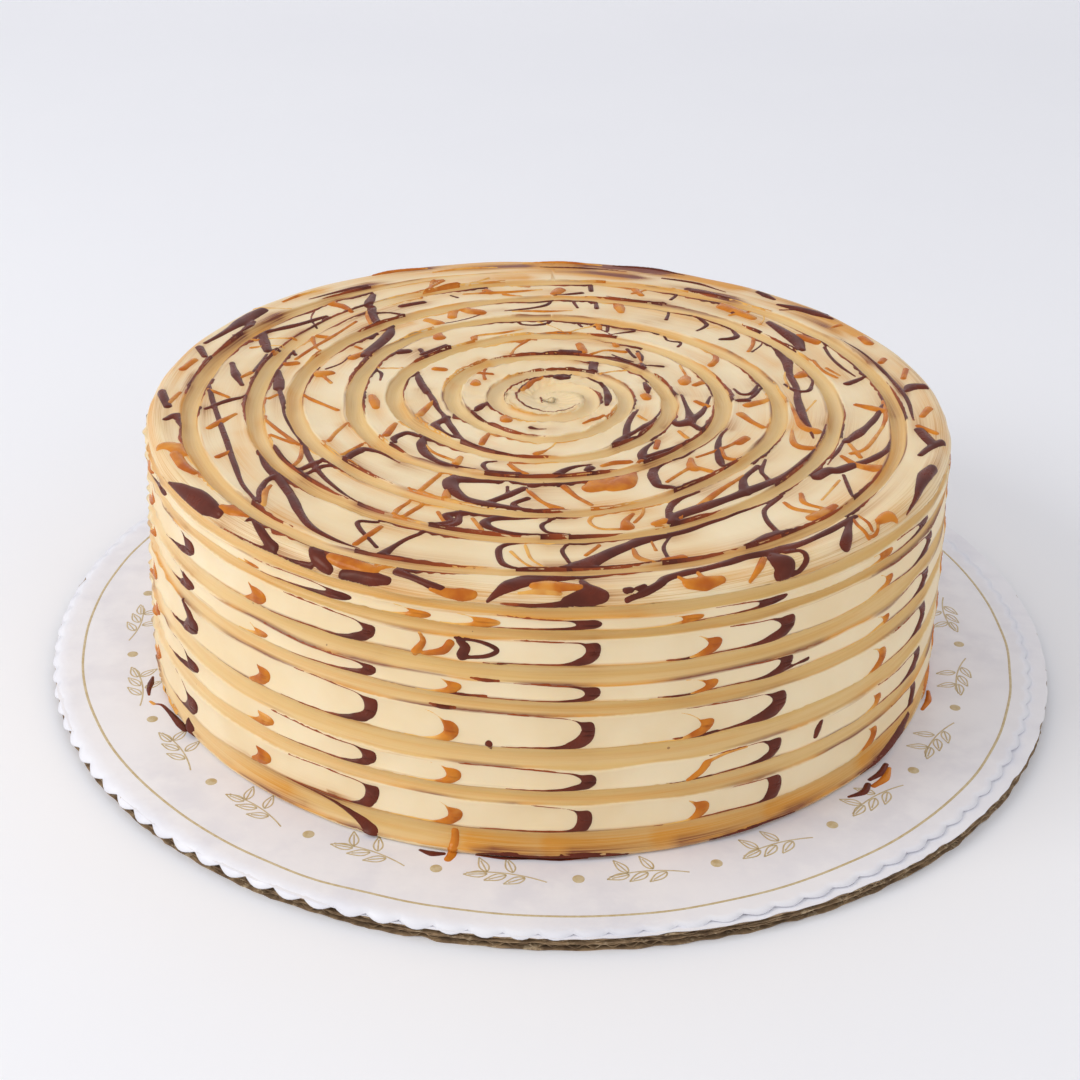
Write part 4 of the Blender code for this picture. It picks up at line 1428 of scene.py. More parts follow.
@dataclass(frozen=True)
class StainAndShadeBook:
    """All the smears in the grooves, brown from the chocolate and amber from the caramel, and bands of
    painted shade in amber along the side's level grooves.
    """

    form: CakeForm

    def side(self) -> tuple:
        """Return the brown and the amber smears of the side; the amber ones include bands of painted shade.
        """
        form = self.form
        draw = random.Random(7)
        brown, amber = [], []
        for kept, angles in ((brown, CHOCOLATE_ANGLES), (amber, CARAMEL_ANGLES)):
            for angle in angles:
                for upper, lower in form.side_grooves[1:]:
                    start = angle + draw.uniform(-1.0, 1.0)
                    middle = form.run_of_share(0.5 * (upper + lower))
                    for begin, tails, run, spread, strengths in (
                            (start, (8, 20), form.run_of_share(upper) + 0.0004, 0.0007, (0.25, 0.7)),
                            (start, (6, 16), form.run_of_share(lower) - 0.0004, 0.0008, (0.1, 0.5)),
                            (start + 1.0, (6, 14), middle, 0.0026, (0.0, 0.22))):
                        tail = -draw.uniform(*tails)
                        kept.append(StainOrShadeBand(begin, tail, run, spread, draw.uniform(*strengths)))
        # Painted shade: a long darker amber band along each level groove, a quarter to two fifths of the way
        # up from its lower edge.
        for upper, lower in form.side_grooves:
            for third in (50, 170, 290):
                run = form.run_of_share(lower + draw.uniform(0.25, 0.40) * (upper - lower))
                start = third + draw.uniform(-30, 30)
                amber.append(StainOrShadeBand(start, -179.0, run, 0.0009, draw.uniform(0.25, 0.55)))
        foot = form.run_of_share(0.05)
        for angle, tail, strength in FOOT_STAINS:
            brown.append(StainOrShadeBand(angle, tail, foot + 0.0026, 0.0020, strength * 0.8))
            amber.append(StainOrShadeBand(angle - 3, tail * 1.3, foot + 0.0004, 0.0040, strength))
        brown.append(StainOrShadeBand(243, -26, form.run_of_share(0.105), 0.0024, 1.1))
        return brown, amber

    def top(self) -> tuple:
        """Return the brown and the amber smears of the top."""
        draw = random.Random(17)
        brown, amber = [], []
        for stroke in TOP_STROKES:
            if max(stroke.widths) < 1.7:
                continue
            kept = brown if stroke.sauce is Sauce.CHOCOLATE else amber
            strength = 0.6 if stroke.sauce is Sauce.CHOCOLATE else 0.7
            for degrees, run in (stroke.path[0], stroke.path[-1]):
                tail = draw.uniform(8, 26)
                kept.append(StainOrShadeBand(degrees, tail, run * MM, 0.0022, strength * draw.uniform(0.4, 1.2)))
        for kept, table in ((amber, AMBER_STAINS), (brown, BROWN_STAINS)):
            for angle, tail, run, spread, strength in table:
                kept.append(StainOrShadeBand(angle, tail, run * MM, spread * MM, strength))
        return brown, amber


@dataclass
class Frosting:
    """The skin of combed frosting over the whole cake, in a top and a side."""

    form: CakeForm
    top_columns: int = 440
    side_columns: int = 800
    groove_rows: tuple = (-1.0, -0.93, -0.78, -0.5, -0.17, 0.17, 0.5, 0.78, 0.93, 1.0)
    land_gaps: tuple = (0.00035, 0.0009, 0.0019)
    land_shares: tuple = (0.1, 0.22, 0.36)
    rim_rows: int = 10
    core_rows: int = 5
    band_pitch: float = 0.018
    # Painted light: the side's grooves are paler round this angle, on the side that faces the key light.
    lit_side_angle: float = 196.0
    lit_side_reach: float = 28.0
    tuck_run: float = 0.0007
    tuck_depth: float = 0.0006
    calm_run: float = 0.0055
    near_mark: float = 0.55
    # What the finish reads: shares, and the runs between which each one comes in.
    bare_share: float = 0.12
    bare_cover: float = 0.35
    # Painted light: how much of its tan a side groove loses where it faces the key light.
    side_paling: float = 0.74
    top_tan: tuple = (0.45, 0.40)
    tan_span: tuple = (0.010, 0.045)
    core_tan: float = 0.28
    core_span: tuple = (0.016, 0.030)
    comb_span: tuple = (0.010, 0.035)
    edge_span: tuple = (0.009, 0.017)
    rim_spans: tuple = ((0.126, 0.132), (0.138, 0.142))
    start_place: tuple = (92.0, 0.117)
    start_stretch: float = 1.2
    start_span: tuple = (6.0, 14.0)
    points: list = field(default_factory=list)
    faces: list = field(default_factory=list)
    count: int = 0
    foot_ring: Array | None = None

    def _keep(self, angle: Array, run: Array, across: Array,
              edge: Array | float = 0.0, sunk: Array | float = 0.0) -> Array:
        """Keep a block of places.

        Args:
            angle: Angles in radians.
            run: The runs.
            across: The places across the combed rows, which the streaks follow.
            edge: How near each place is to a groove's edge, 1 on the edge.
            sunk: How far each place is sunk.

        Returns:
            The numbers of the places, in the block's own shape.
        """
        block = np.broadcast_arrays(angle, run, across, edge, sunk)
        self.points.append(np.stack([row.ravel() for row in block], axis=-1))
        numbers = self.count + np.arange(block[0].size).reshape(block[0].shape)
        self.count += block[0].size
        return numbers

    def _quads(self, rows: Array) -> None:
        """Keep the quads of a block of numbers, columns round the cake and rows outwards."""
        self.faces.append(grid_quads(rows))

    def _zip(self, first: list, second: list) -> None:
        """Fill the gap between two chains of numbers with triangles.

        Args:
            first: One chain.
            second: The other chain, in the same direction.
        """
        made = []
        i = j = 0
        last_i, last_j = len(first) - 1, len(second) - 1
        while i < last_i or j < last_j:
            if j == last_j or (i < last_i and (i + 1) / last_i <= (j + 1) / last_j):
                made.append((first[i], first[i + 1], second[j]))
                i += 1
            else:
                made.append((first[i], second[j + 1], second[j]))
                j += 1
        solid = [face for face in made if len(set(face)) == 3]
        if solid:
            self.faces.append(np.array(solid))

    def _land(self, low: Array, high: Array) -> Array:
        """Return the runs of a land's rows.

        Args:
            low: The run of its nearer edge.
            high: The run of its farther edge.

        Returns:
            The runs of the rows between the two edges.
        """
        wide = high - low
        gaps = zip(self.land_gaps, self.land_shares)
        near, mid, far = (np.minimum(gap, share * wide) for gap, share in gaps)
        middle = 0.5 * (low + high)
        return np.stack([low + near, low + mid, low + far, middle, high - far, high - mid, high - near])

    def _groove(self, low: Array, high: Array) -> Array:
        """Return the runs of a groove's rows, from one edge to the other."""
        share = (np.array(self.groove_rows)[:, None] + 1.0) / 2.0
        return low + (high - low) * share

    def _land_marks(self) -> Array:
        """Return how near each of a land's rows is to an edge."""
        return np.array([self.near_mark, 0.0, 0.0, 0.0, 0.0, 0.0, self.near_mark])[:, None]

    def _edge_marks(self) -> Array:
        """Return how near each of a groove's rows is to an edge, 1 on the edge itself."""
        return np.clip((np.abs(np.array(self.groove_rows)) - 0.86) / 0.14, 0.0, 1.0)[:, None]

    def _restart(self) -> None:
        """Start a new piece."""
        self.points, self.faces, self.count = [], [], 0

    def _lay_side(self) -> None:
        """Lay out the side, from the upper edge of the first level groove to the foot."""
        form = self.form
        n = self.side_columns
        angle = TAU * np.arange(n) / n
        rows, marks = [], []
        for k in range(len(form.side_grooves)):
            low, high = form.side_edges(k, angle)
            rows.append(self._groove(low, high))
            marks.append(self._edge_marks())
            if k + 1 < len(form.side_grooves):
                rows.append(self._land(high, form.side_edges(k + 1, angle)[0]))
                marks.append(self._land_marks())
        foot = np.full_like(angle, form.foot_run)
        rows.append(np.stack([0.5 * (high + foot), foot]))
        marks.append(np.zeros((2, 1)))
        runs = np.concatenate(rows)
        block = self._keep(angle[None], runs, runs, np.concatenate(marks))
        self._quads(np.concatenate([block, block[:, :1]], axis=1))
        self.foot_ring = block[-1]

    def _lay_top(self) -> None:
        """Lay out the top along its spiral, and the rounded rim tucked under the side."""
        form = self.form
        n = self.top_columns
        last = int(round(form.turns * n))
        steps = np.arange(last + 1)
        turns = steps / n
        angle = form.spiral_start + TAU * turns
        inner, outer, _ = form.spiral_edges(turns)
        edge = form.side_edges(0, angle[:n])[0]
        near, far = self.land_gaps[:2]
        share = np.linspace(0.0, 1.0, self.rim_rows)[:, None]
        rim = np.concatenate([
            (outer[:n] + near)[None], outer[:n] + far + (edge - outer[:n] - 2.0 * far) * share,
            (edge - near)[None], edge[None], (edge + self.tuck_run)[None],
        ])
        start = float(np.mean(outer[:n]))
        slide = (outer[:n] - start) * (1.0 - smooth_step(start, float(np.mean(edge)), rim))
        marks = np.zeros((len(rim), 1))
        marks[0] = marks[-3] = self.near_mark
        marks[-2:] = 1.0
        sunk = np.zeros((len(rim), 1))
        sunk[-1] = self.tuck_depth
        skirt = self._keep(angle[None, :n], rim, rim - slide, marks, sunk)
        self._quads(np.concatenate([skirt, skirt[:, :1]], axis=1))
        groove_runs = self._groove(inner, outer)[::-1]
        level = start - self.band_pitch * (steps // n)
        grooves = self._keep(angle[None], groove_runs, level + groove_runs - outer, self._edge_marks())
        self._quads(np.concatenate([skirt[:1], grooves[:1, :n]])[::-1])
        self._quads(grooves[::-1])
        self._zip([skirt[0, -1], skirt[0, 0], *grooves[:, 0]], [grooves[0, n - 1], grooves[0, n]])
        self._inner_lands(angle, inner, outer, level, grooves, last)

    def _inner_lands(self, angle: Array, inner: Array, outer: Array,
                     level: Array, grooves: Array, last: int) -> None:
        """Lay out the lands between the spiral's turns, and the middle of the cake.

        Args:
            angle: The angle of each step.
            inner: The groove's inner run at each step.
            outer: The groove's outer run at each step.
            level: The place across at the groove's outer edge.
            grooves: The numbers of the grooves' points.
            last: The last step.
        """
        n = self.top_columns
        free = last - n
        width = (outer - inner)[: free + 1]
        lands = self._land(outer[n:], inner[: free + 1])[::-1]
        share = (inner[: free + 1] - lands) / (inner[: free + 1] - outer[n:])
        across = level[: free + 1] - width - share * (self.band_pitch - width)
        inside = self._keep(angle[None, : free + 1], lands, across, self._land_marks())
        block = np.concatenate([grooves[-1:, : free + 1], inside, grooves[:1, n:]])
        self._quads(block[::-1])
        shares = np.linspace(0.0, 1.0, self.core_rows + 2)[1:-1, None]
        core_runs = inner[free:] * (1.0 - shares)
        centre = level[free] - inner[free]
        core = self._keep(angle[None, free:], core_runs, centre + core_runs)
        middle = self._keep(np.zeros(1), np.full(1, 1e-6), np.full(1, centre))[0]
        ends = np.concatenate([grooves[-1:, free:], core])
        self._quads(ends[::-1, 1:])
        fan = [(ends[-1, j + 1], ends[-1, j], middle) for j in range(1, n)]
        self.faces.append(np.array(fan))
        # The last turn's loose end is zipped to the turn that starts beside it.
        self._zip([*ends[:, 1], middle], [*block[:, free], *grooves[1:, last], *core[:, -1], middle])

    def _values(self, stains: tuple, places: list, groove: Array) -> dict:
        """Work out what the finish reads at each place.

        Args:
            stains: The brown and the amber smears, with the side's painted shade bands among the amber.
            places: The angles, the runs, the places across and the edge marks.
            groove: The groove's share.

        Returns:
            The values by name.
        """
        angle, run, across, edge = places
        degrees = np.degrees(angle)
        turned = np.mod(degrees, 360.0)
        side = run > self.form.wall_run
        bare = np.where(side & (run < self.form.run_of_share(self.bare_share)), self.bare_cover, 1.0)
        covers = []
        for kept in stains:
            cover = np.zeros_like(run)
            for stain in kept:
                cover = np.maximum(cover, stain.cover(degrees, run))
            covers.append(cover * (bare + (1.0 - bare) * groove))
        # Painted light: round the lit angle the side's grooves lose most of their tan, so that side looks
        # lit.
        left = np.exp(-(((turned - self.lit_side_angle) / self.lit_side_reach) ** 2))
        least, more = self.top_tan
        tanned = least + more * smooth_step(*self.tan_span, run)
        tanned = np.where(side, 1.0 - self.side_paling * left, tanned)
        core = self.core_tan * (1.0 - smooth_step(*self.core_span, run))
        around, out = self.start_place
        start = np.hypot((turned - around) * self.start_stretch, (run - out) / MM)
        shown = smooth_step(*self.edge_span, run) * smooth_step(*self.start_span, start)
        rim_start, rim_end = self.rim_spans
        rim = smooth_step(*rim_start, run) * (1.0 - smooth_step(*rim_end, run))
        comb = smooth_step(*self.comb_span, run)
        return {"groove": np.maximum(groove * tanned, core), "across": across, "edge": edge * shown,
                "brown": covers[0], "amber": covers[1], "comb": comb, "rim": rim}

    def _piece(self, name: str, stains: tuple, material: bpy.types.Material,
               foot: bool) -> bpy.types.Object:
        """Turn what was laid out into a piece.

        Args:
            name: The piece's name.
            stains: Its brown and its amber smears, on the side with painted shade bands among the amber.
            material: Its finish.
            foot: Whether its last ring is closed with a point in the middle.

        Returns:
            The piece.
        """
        *places, sunk = np.concatenate(self.points).T
        angle, run = places[:2]
        lift, groove = self.form.relief(angle, run)
        if run.min() < self.calm_run:
            calm = 1.0 - smooth_step(0.5 * self.calm_run, 1.4 * self.calm_run, run)
            lift = lift + calm * (float(lift[run < self.calm_run].mean()) - lift)
        points, normals = self.form.skin(angle, run)
        points = points + normals * (lift - sunk)[:, None]
        values = self._values(stains, places, groove)
        faces = list(self.faces)
        if foot:
            ring = self.foot_ring
            middle = [*self.form.centre, float(points[ring, 2].min())]
            faces.append(np.stack([np.roll(ring, -1), ring, np.full(len(ring), len(points))], axis=-1))
            points = np.concatenate([points, [middle]])
            values = {key: np.append(row, row[-1]) for key, row in values.items()}
        return new_piece(name, points, faces, material, values)

    def build(self, material: bpy.types.Material) -> list:
        """Build the frosting.

        Args:
            material: Its finish.

        Returns:
            The top and the side.
        """
        book = StainAndShadeBook(self.form)
        self._restart()
        self._lay_top()
        top = self._piece("frosting_top", book.top(), material, False)
        self._restart()
        self._lay_side()
        side = self._piece("frosting_side", book.side(), material, True)
        return [top, side]


CHOCOLATE_ANGLES = (2.5, 31, 62, 92, 121, 151, 183, 215, 248, 275.5, 301, 332.5)
CARAMEL_ANGLES = (20, 47, 77, 106, 137, 167, 199, 231.5, 259, 290.5, 320.5, 351)
FIRST_LAND_CHOCOLATE = (2.5, 31, 62, 92, 121, 151, 183, 206, 244, 275, 299, 330)
FIRST_LAND_CARAMEL = (20, 47, 77, 106, 137, 167, 199, 230, 255, 263, 288, 319, 351)
# Smears along the foot, as angle, length in degrees and strength.
FOOT_STAINS = (
    (264, 22, 1.1), (274, 26, 1.2), (288, 26, 1.2), (304, 22, 1.1), (322, 26, 1.1), (346, 24, 0.9),
    (238, -16, 1.0), (224, -20, 0.3), (20, -30, 0.8), (120, 40, 0.9), (60, 30, 0.8),
)
# Smears on the top, as angle, length in degrees, run, spread and strength.
AMBER_STAINS = (
    (76, 34, 119, 5, 1.9), (86, 40, 125, 4, 2.4), (95, 30, 112, 5, 1.0), (50, 40, 110, 4, 1.0),
    (28, 38, 128, 4, 1.8), (30, 40, 122, 3, 1.2), (130, 50, 80, 3, 0.7), (70, 60, 30, 3, 0.6),
    (90, 80, 12, 3, 0.4), (200, 40, 124, 3, 0.4), (56, 96, 130, 6, 2.0), (40, 60, 104, 3, 1.0),
    (45, 70, 88, 3, 0.8), (50, 70, 70, 3, 0.8), (60, 70, 50, 3, 0.7), (150, 50, 118, 3, 0.9),
    (120, 50, 96, 3, 0.8), (134, 16, 127, 3, 1.0), (164, 30, 132, 2.6, 0.8), (184, 40, 134, 1.8, 0.9),
    (200, 60, 104, 2.4, 0.7), (225, 60, 90, 2.4, 0.7), (300, 60, 74, 2.4, 0.55), (330, 60, 117, 2.4, 0.7),
    (215, 60, 68, 2.4, 0.6), (280, 50, 118, 2.2, 0.5), (228, 40, 122, 2.6, 0.8), (240, 40, 104, 2.4, 0.6),
    (180, 60, 88, 2.4, 0.55), (10, 60, 104, 2.6, 0.6), (20, 60, 86, 2.4, 0.6), (340, 60, 88, 2.4, 0.5),
    (0, 70, 50, 2.6, 0.5), (190, 70, 50, 2.4, 0.45), (205, 50, 137, 1.5, 0.8), (250, 40, 136, 1.5, 0.7),
    (300, 40, 136, 1.5, 0.6), (345, 40, 133, 1.8, 0.7),
)
BROWN_STAINS = (
    (125.2, 15, 121.6, 2.6, 1.4), (133, 8, 118, 1.6, 0.8), (147, 13, 121, 3, 1.3), (157, 26, 120.4, 1.6, 1),
    (71, 28, 128.4, 3.2, 2.6), (74, 24, 119.4, 2.4, 2), (95, 20, 125, 2.6, 1.7), (112, 12, 130, 2.4, 1.4),
    (53, 20, 116, 2.4, 1.8), (33, 14, 122, 2.2, 1.2), (3.5, 14, 121, 2.2, 1.3), (16, 16, 118.6, 1.8, 1.1),
    (82, 14, 123, 1.6, 1.5), (40, 12, 128, 1.8, 1.2),
    (100, 30, 104, 1.6, 0.7), (62, 24, 76, 1.6, 0.6), (62, 34, 47, 1.8, 1.0), (96, 24, 58, 1.5, 0.7),
    (120, 22, 93, 1.8, 0.8), (58, 36, 31, 1.8, 1.0), (112, 40, 16, 2.0, 0.9), (150, 20, 104, 1.6, 0.7),
    (176, 30, 123, 1.6, 0.9), (236, 26, 102, 1.8, 0.7), (270, 30, 118.4, 1.5, 0.8), (330, 30, 103, 1.8, 0.7),
    (300, 24, 60, 2.2, 0.7), (330, 26, 44, 2.2, 0.7), (205, 26, 48, 2.2, 0.6),
)


def flat_chart(degrees: Array, reach: Array) -> Array:
    """Return places on a flat grid for some angles and distances from its middle."""
    turn = np.radians(degrees)
    return np.stack([reach * np.cos(turn), reach * np.sin(turn)], axis=-1)


def smooth_line(points: Array, step: float) -> tuple:
    """Return a smooth line through some points, and how far along each of its points is.

    Args:
        points: The points to pass through, in the plane.
        step: The distance between the line's points.

    Returns:
        The line's points and their share of the way from the first point to the last.
    """
    padded = np.concatenate([2.0 * points[:1] - points[1:2], points, 2.0 * points[-1:] - points[-2:-1]])
    made, shares = [], []
    count = len(points) - 1
    for i in range(count):
        before, start, end, after = padded[i : i + 4]
        number = max(3, int(np.linalg.norm(end - start) / step) + 1)
        t = np.arange(number)[:, None] / number
        leave, arrive = 0.5 * (end - before), 0.5 * (after - start)
        bend = 2.0 * (start - end) + leave + arrive
        made.append(start + leave * t + (3.0 * (end - start) - 2.0 * leave - arrive) * t**2 + bend * t**3)
        shares.append((i + t[:, 0]) / count)
    made.append(points[-1:])
    shares.append(np.array([1.0]))
    return np.concatenate(made), np.concatenate(shares)


@dataclass
class Pour:
    """Sauce gathered on a flat grid in millimetres, where crossing strokes run together."""

    x: Array
    y: Array
    sharpness: float = 4.0
    total: Array = field(init=False)

    def __post_init__(self) -> None:
        """Start with no sauce."""
        self.total = np.full((len(self.y), len(self.x)), 1e-12)

    def _window(self, left: float, right: float, low: float, high: float) -> tuple:
        """Return the rows and the columns of the grid between some limits."""
        columns = slice(*np.searchsorted(self.x, (left, right)))
        return slice(*np.searchsorted(self.y, (low, high))), columns

    def strokes(self, table: tuple, sauce: Sauce, chart: Callable, step: float, ragged: float = 0.0) -> None:
        """Pour the strokes of one sauce.

        Args:
            table: Strokes of both sauces.
            sauce: The sauce to pour.
            chart: Turns the two numbers of a stroke's points into places on the grid.
            step: The distance between a stroke's dabs.
            ragged: How much the widths wander.
        """
        for seed, stroke in enumerate(table):
            if stroke.sauce is sauce:
                line, share = smooth_line(chart(*np.array(stroke.path).T), step)
                widths = np.interp(share, np.linspace(0.0, 1.0, len(stroke.widths)), stroke.widths)
                gone = np.concatenate(([0.0], np.cumsum(np.linalg.norm(np.diff(line, axis=0), axis=1))))
                wander = Wander(1000 + seed, ragged, 1, 4, 4).at(gone / 8.0)
                self.stroke(line, 0.5 * widths * (1.0 + wander))

    def stroke(self, line: Array, halves: Array) -> None:
        """Pour a stroke: at each place the deepest of its round dabs.

        Args:
            line: The dabs' middles.
            halves: The dabs' radii.
        """
        reach = float(halves.max()) + 1.6
        low, high = line.min(axis=0) - reach, line.max(axis=0) + reach
        rows, columns = self._window(low[0], high[0], low[1], high[1])
        x, y = self.x[columns][None], self.y[rows][:, None]
        deep = np.full((y.size, x.size), -9.0)
        for place, half in zip(line, halves):
            deep = np.maximum(deep, half - np.hypot(x - place[0], y - place[1]))
        self.total[rows, columns] += np.exp(self.sharpness * deep)

    def shape(self, left: float, right: float, low: float, high: float, deep: Callable) -> None:
        """Pour a shape given by a function of the grid's places.

        Args:
            left: The least x.
            right: The greatest x.
            low: The least y.
            high: The greatest y.
            deep: Returns how deep inside the shape some places are.
        """
        rows, columns = self._window(left, right, low, high)
        x, y = np.meshgrid(self.x[columns], self.y[rows])
        self.total[rows, columns] += np.exp(self.sharpness * np.clip(deep(x, y), -9.0, 6.0))

    def depth(self) -> Array:
        """Return how deep inside the sauce each place of the grid is, in millimetres."""
        return np.log(self.total) / self.sharpness


def deepest_near(depth: Array, columns: int, rows: int) -> Array:
    """Return the greatest depth near each place of a grid.

    Args:
        depth: The depths.
        columns: How many columns away still counts as near.
        rows: How many rows away still counts as near.

    Returns:
        The greatest depths, in the grid's own shape.
    """
    for axis, reach in ((1, columns), (0, rows)):
        moved = [np.roll(depth, step, axis) for step in range(-reach, reach + 1)]
        depth = np.max(moved, axis=0)
    return depth


@dataclass(frozen=True)
class SheetForm:
    """How a sauce stands: its height, how fast it rises from its edge, and how deep its edge lies."""

    rise: float = 0.0007
    reach: float = 1.0
    sunk: float = 0.00005
    full_body: float = 0.9
    near: float = 0.9

    def mesh(self, pour: Pour, depth: Array, place: Callable, flip: bool) -> tuple:
        """Mesh the sauce where its depth is above nought, with its edge sunk into what carries it.

        Args:
            pour: The grid that the sauce was gathered on.
            depth: The depth at the grid's places, in millimetres.
            place: Turns x, y and a lift in metres into points.
            flip: Whether the grid's two axes run the other way round when seen from outside.

        Returns:
            The points, the faces and the body at each point.
        """
        inside = depth > 0.0
        inside[0] = inside[-1] = False
        inside[:, 0] = inside[:, -1] = False
        corner = np.full(inside.shape, -1)
        inner = int(inside.sum())
        corner[inside] = np.arange(inner)
        rows, columns = np.nonzero(inside)
        step_x, step_y = pour.x[1] - pour.x[0], pour.y[1] - pour.y[0]
        wide = deepest_near(depth, max(1, round(self.near / step_x)), max(1, round(self.near / step_y)))
        x, y, deep, bodies = [pour.x[columns]], [pour.y[rows]], [depth[inside]], [wide[inside]]
        number = inner
        edges = []
        for axis in (1, 0):
            later = np.roll(inside, -1, axis)
            later_depth = np.roll(depth, -1, axis)
            crossed = inside != later
            r, c = np.nonzero(crossed)
            share = np.clip(depth[r, c] / (depth[r, c] - later_depth[r, c]), 0.02, 0.98)
            x.append(pour.x[c] + share * (step_x if axis else 0.0))
            y.append(pour.y[r] + share * (0.0 if axis else step_y))
            deep.append(np.zeros(len(r)))
            bodies.append(np.maximum(wide, np.roll(wide, -1, axis))[r, c])
            ids = np.full(inside.shape, -1)
            ids[crossed] = number + np.arange(len(r))
            number += len(r)
            edges.append(ids)
        faces = self._walk(inside, corner, edges)
        x, y, deep = np.concatenate(x), np.concatenate(y), np.concatenate(deep)
        lift = self.rise * (1.0 - np.exp(-deep / self.reach)) - self.sunk
        if flip:
            faces = [face[:, ::-1] for face in faces]
        return place(x, y, lift), faces, smooth_step(0.0, self.full_body, np.concatenate(bodies))

    @staticmethod
    def _walk(inside: Array, corner: Array, edges: list) -> list:
        """Lay out the faces: round each cell, its inner corners and the crossings between.

        Args:
            inside: Which of the grid's places are in the sauce.
            corner: The numbers of those places.
            edges: The numbers of the crossings along the rows and along the columns.

        Returns:
            Arrays of faces, each with one number of corners.
        """
        code = inside[:-1, :-1] * 1 + inside[:-1, 1:] * 2 + inside[1:, 1:] * 4 + inside[1:, :-1] * 8
        corners = (corner[:-1, :-1], corner[:-1, 1:], corner[1:, 1:], corner[1:, :-1])
        sides = (edges[0][:-1, :-1], edges[1][:-1, 1:], edges[0][1:, :-1], edges[1][:-1, :-1])
        faces = []
        for kind in range(1, 16):
            chosen = code == kind
            if not chosen.any():
                continue
            walk = []
            for k in range(4):
                here, after = kind >> k & 1, kind >> (k + 1) % 4 & 1
                if here:
                    walk.append(corners[k][chosen])
                if here != after:
                    walk.append(sides[k][chosen])
            faces.append(np.stack(walk, axis=-1))
        return faces


@dataclass(frozen=True)
class Drip:
    """What the comb left of a drip on one land: a belly with two legs dragged along the edges.

    Lengths are in millimetres, across the land from its upper to its lower edge.
    """

    x: float
    land: int
    width: float
    noses: tuple
    power: float
    legs: tuple
    tails: tuple
    lean: float
    sag: float
    gap: float
    bends: tuple
    squareness: float = 2.2
    least_leg: float = 0.32
    no_leg: float = 0.6
    joining: float = 12.0
    over_edge: float = 0.15

    def depth(self, x: Array, y: Array, low: Array, high: Array) -> Array:
        """Return how deep inside the drip some places are.

        Args:
            x: Places along the way round.
            y: Places down the side.
            low: The land's upper edge at each place.
            high: The land's lower edge at each place.

        Returns:
            The depths in millimetres.
        """
        behind = np.clip(self.x - 0.5 * self.width - x, 0.0, None)
        top = low + self.gap * (high - low) * np.exp(-behind / 5.0)
        half = 0.5 * (high - top)
        down = y - 0.5 * (top + high)
        ahead = x - self.x + 0.5 * self.lean * down / half
        bend = np.where(down > 0.0, self.bends[1], self.bends[0])
        right = np.clip(1.0 + (ahead - 0.5 * self.width) / bend, 0.0, None)
        tall = half + np.where(down > 0.0, 0.15, 0.05)
        outer = (right**self.squareness + (np.abs(down) / tall) ** self.squareness) ** (1.0 / self.squareness)
        back = -0.5 * self.width - ahead
        shift = -self.sag * half * np.exp(-np.clip(back, 0.0, None) / (1.4 * self.noses[1]))
        rel = down - shift
        above = rel < 0.0
        tail = np.where(above, *self.tails)
        left = np.clip(1.0 - back / tail, 0.0, 1.0)
        leg = np.where(back < tail, np.where(above, *self.legs) * left**0.5, -self.no_leg)
        leg = np.where(leg < self.least_leg, -self.no_leg, leg)
        room = np.maximum(half - leg + np.where(above, shift, -shift), 0.2)
        before = np.clip(1.0 - back / np.where(above, *self.noses), 0.0, None)
        hole = (before**self.power + (np.abs(rel) / room) ** self.power + 1e-9) ** (1.0 / self.power)
        shapes = []
        for level in (1.0 - outer, hole - 1.0):
            slope = np.hypot(*np.gradient(level, y[1, 0] - y[0, 0], x[0, 1] - x[0, 0]))
            shapes.append(np.clip(level / np.maximum(slope, 0.02), -4.0, 4.0))
        joined = sum(np.exp(-self.joining * shape) for shape in shapes)
        return np.minimum(-np.log(joined) / self.joining, np.minimum(y - low, high - y) + self.over_edge)


@dataclass(frozen=True)
class Tail:
    """A tail dragged along one edge of the top's groove from the end of a stroke."""

    sauce: Sauce
    degrees: float
    run: float
    width: float
    length: float
    turns: float
    edge: int

    def free_of(self, others: list) -> float:
        """Return the length that a caramel tail has before it meets chocolate on the same edge.

        Args:
            others: The tails of both sauces.

        Returns:
            The free length in millimetres, which is the whole length for a chocolate tail.
        """
        length = self.length
        if self.sauce is Sauce.CHOCOLATE:
            return length
        for other in others:
            if other.sauce is Sauce.CARAMEL or other.edge != self.edge:
                continue
            ahead = (other.turns - self.turns) * TAU * self.run
            if -other.length < ahead < length:
                length = max(ahead, 0.0)
        return length


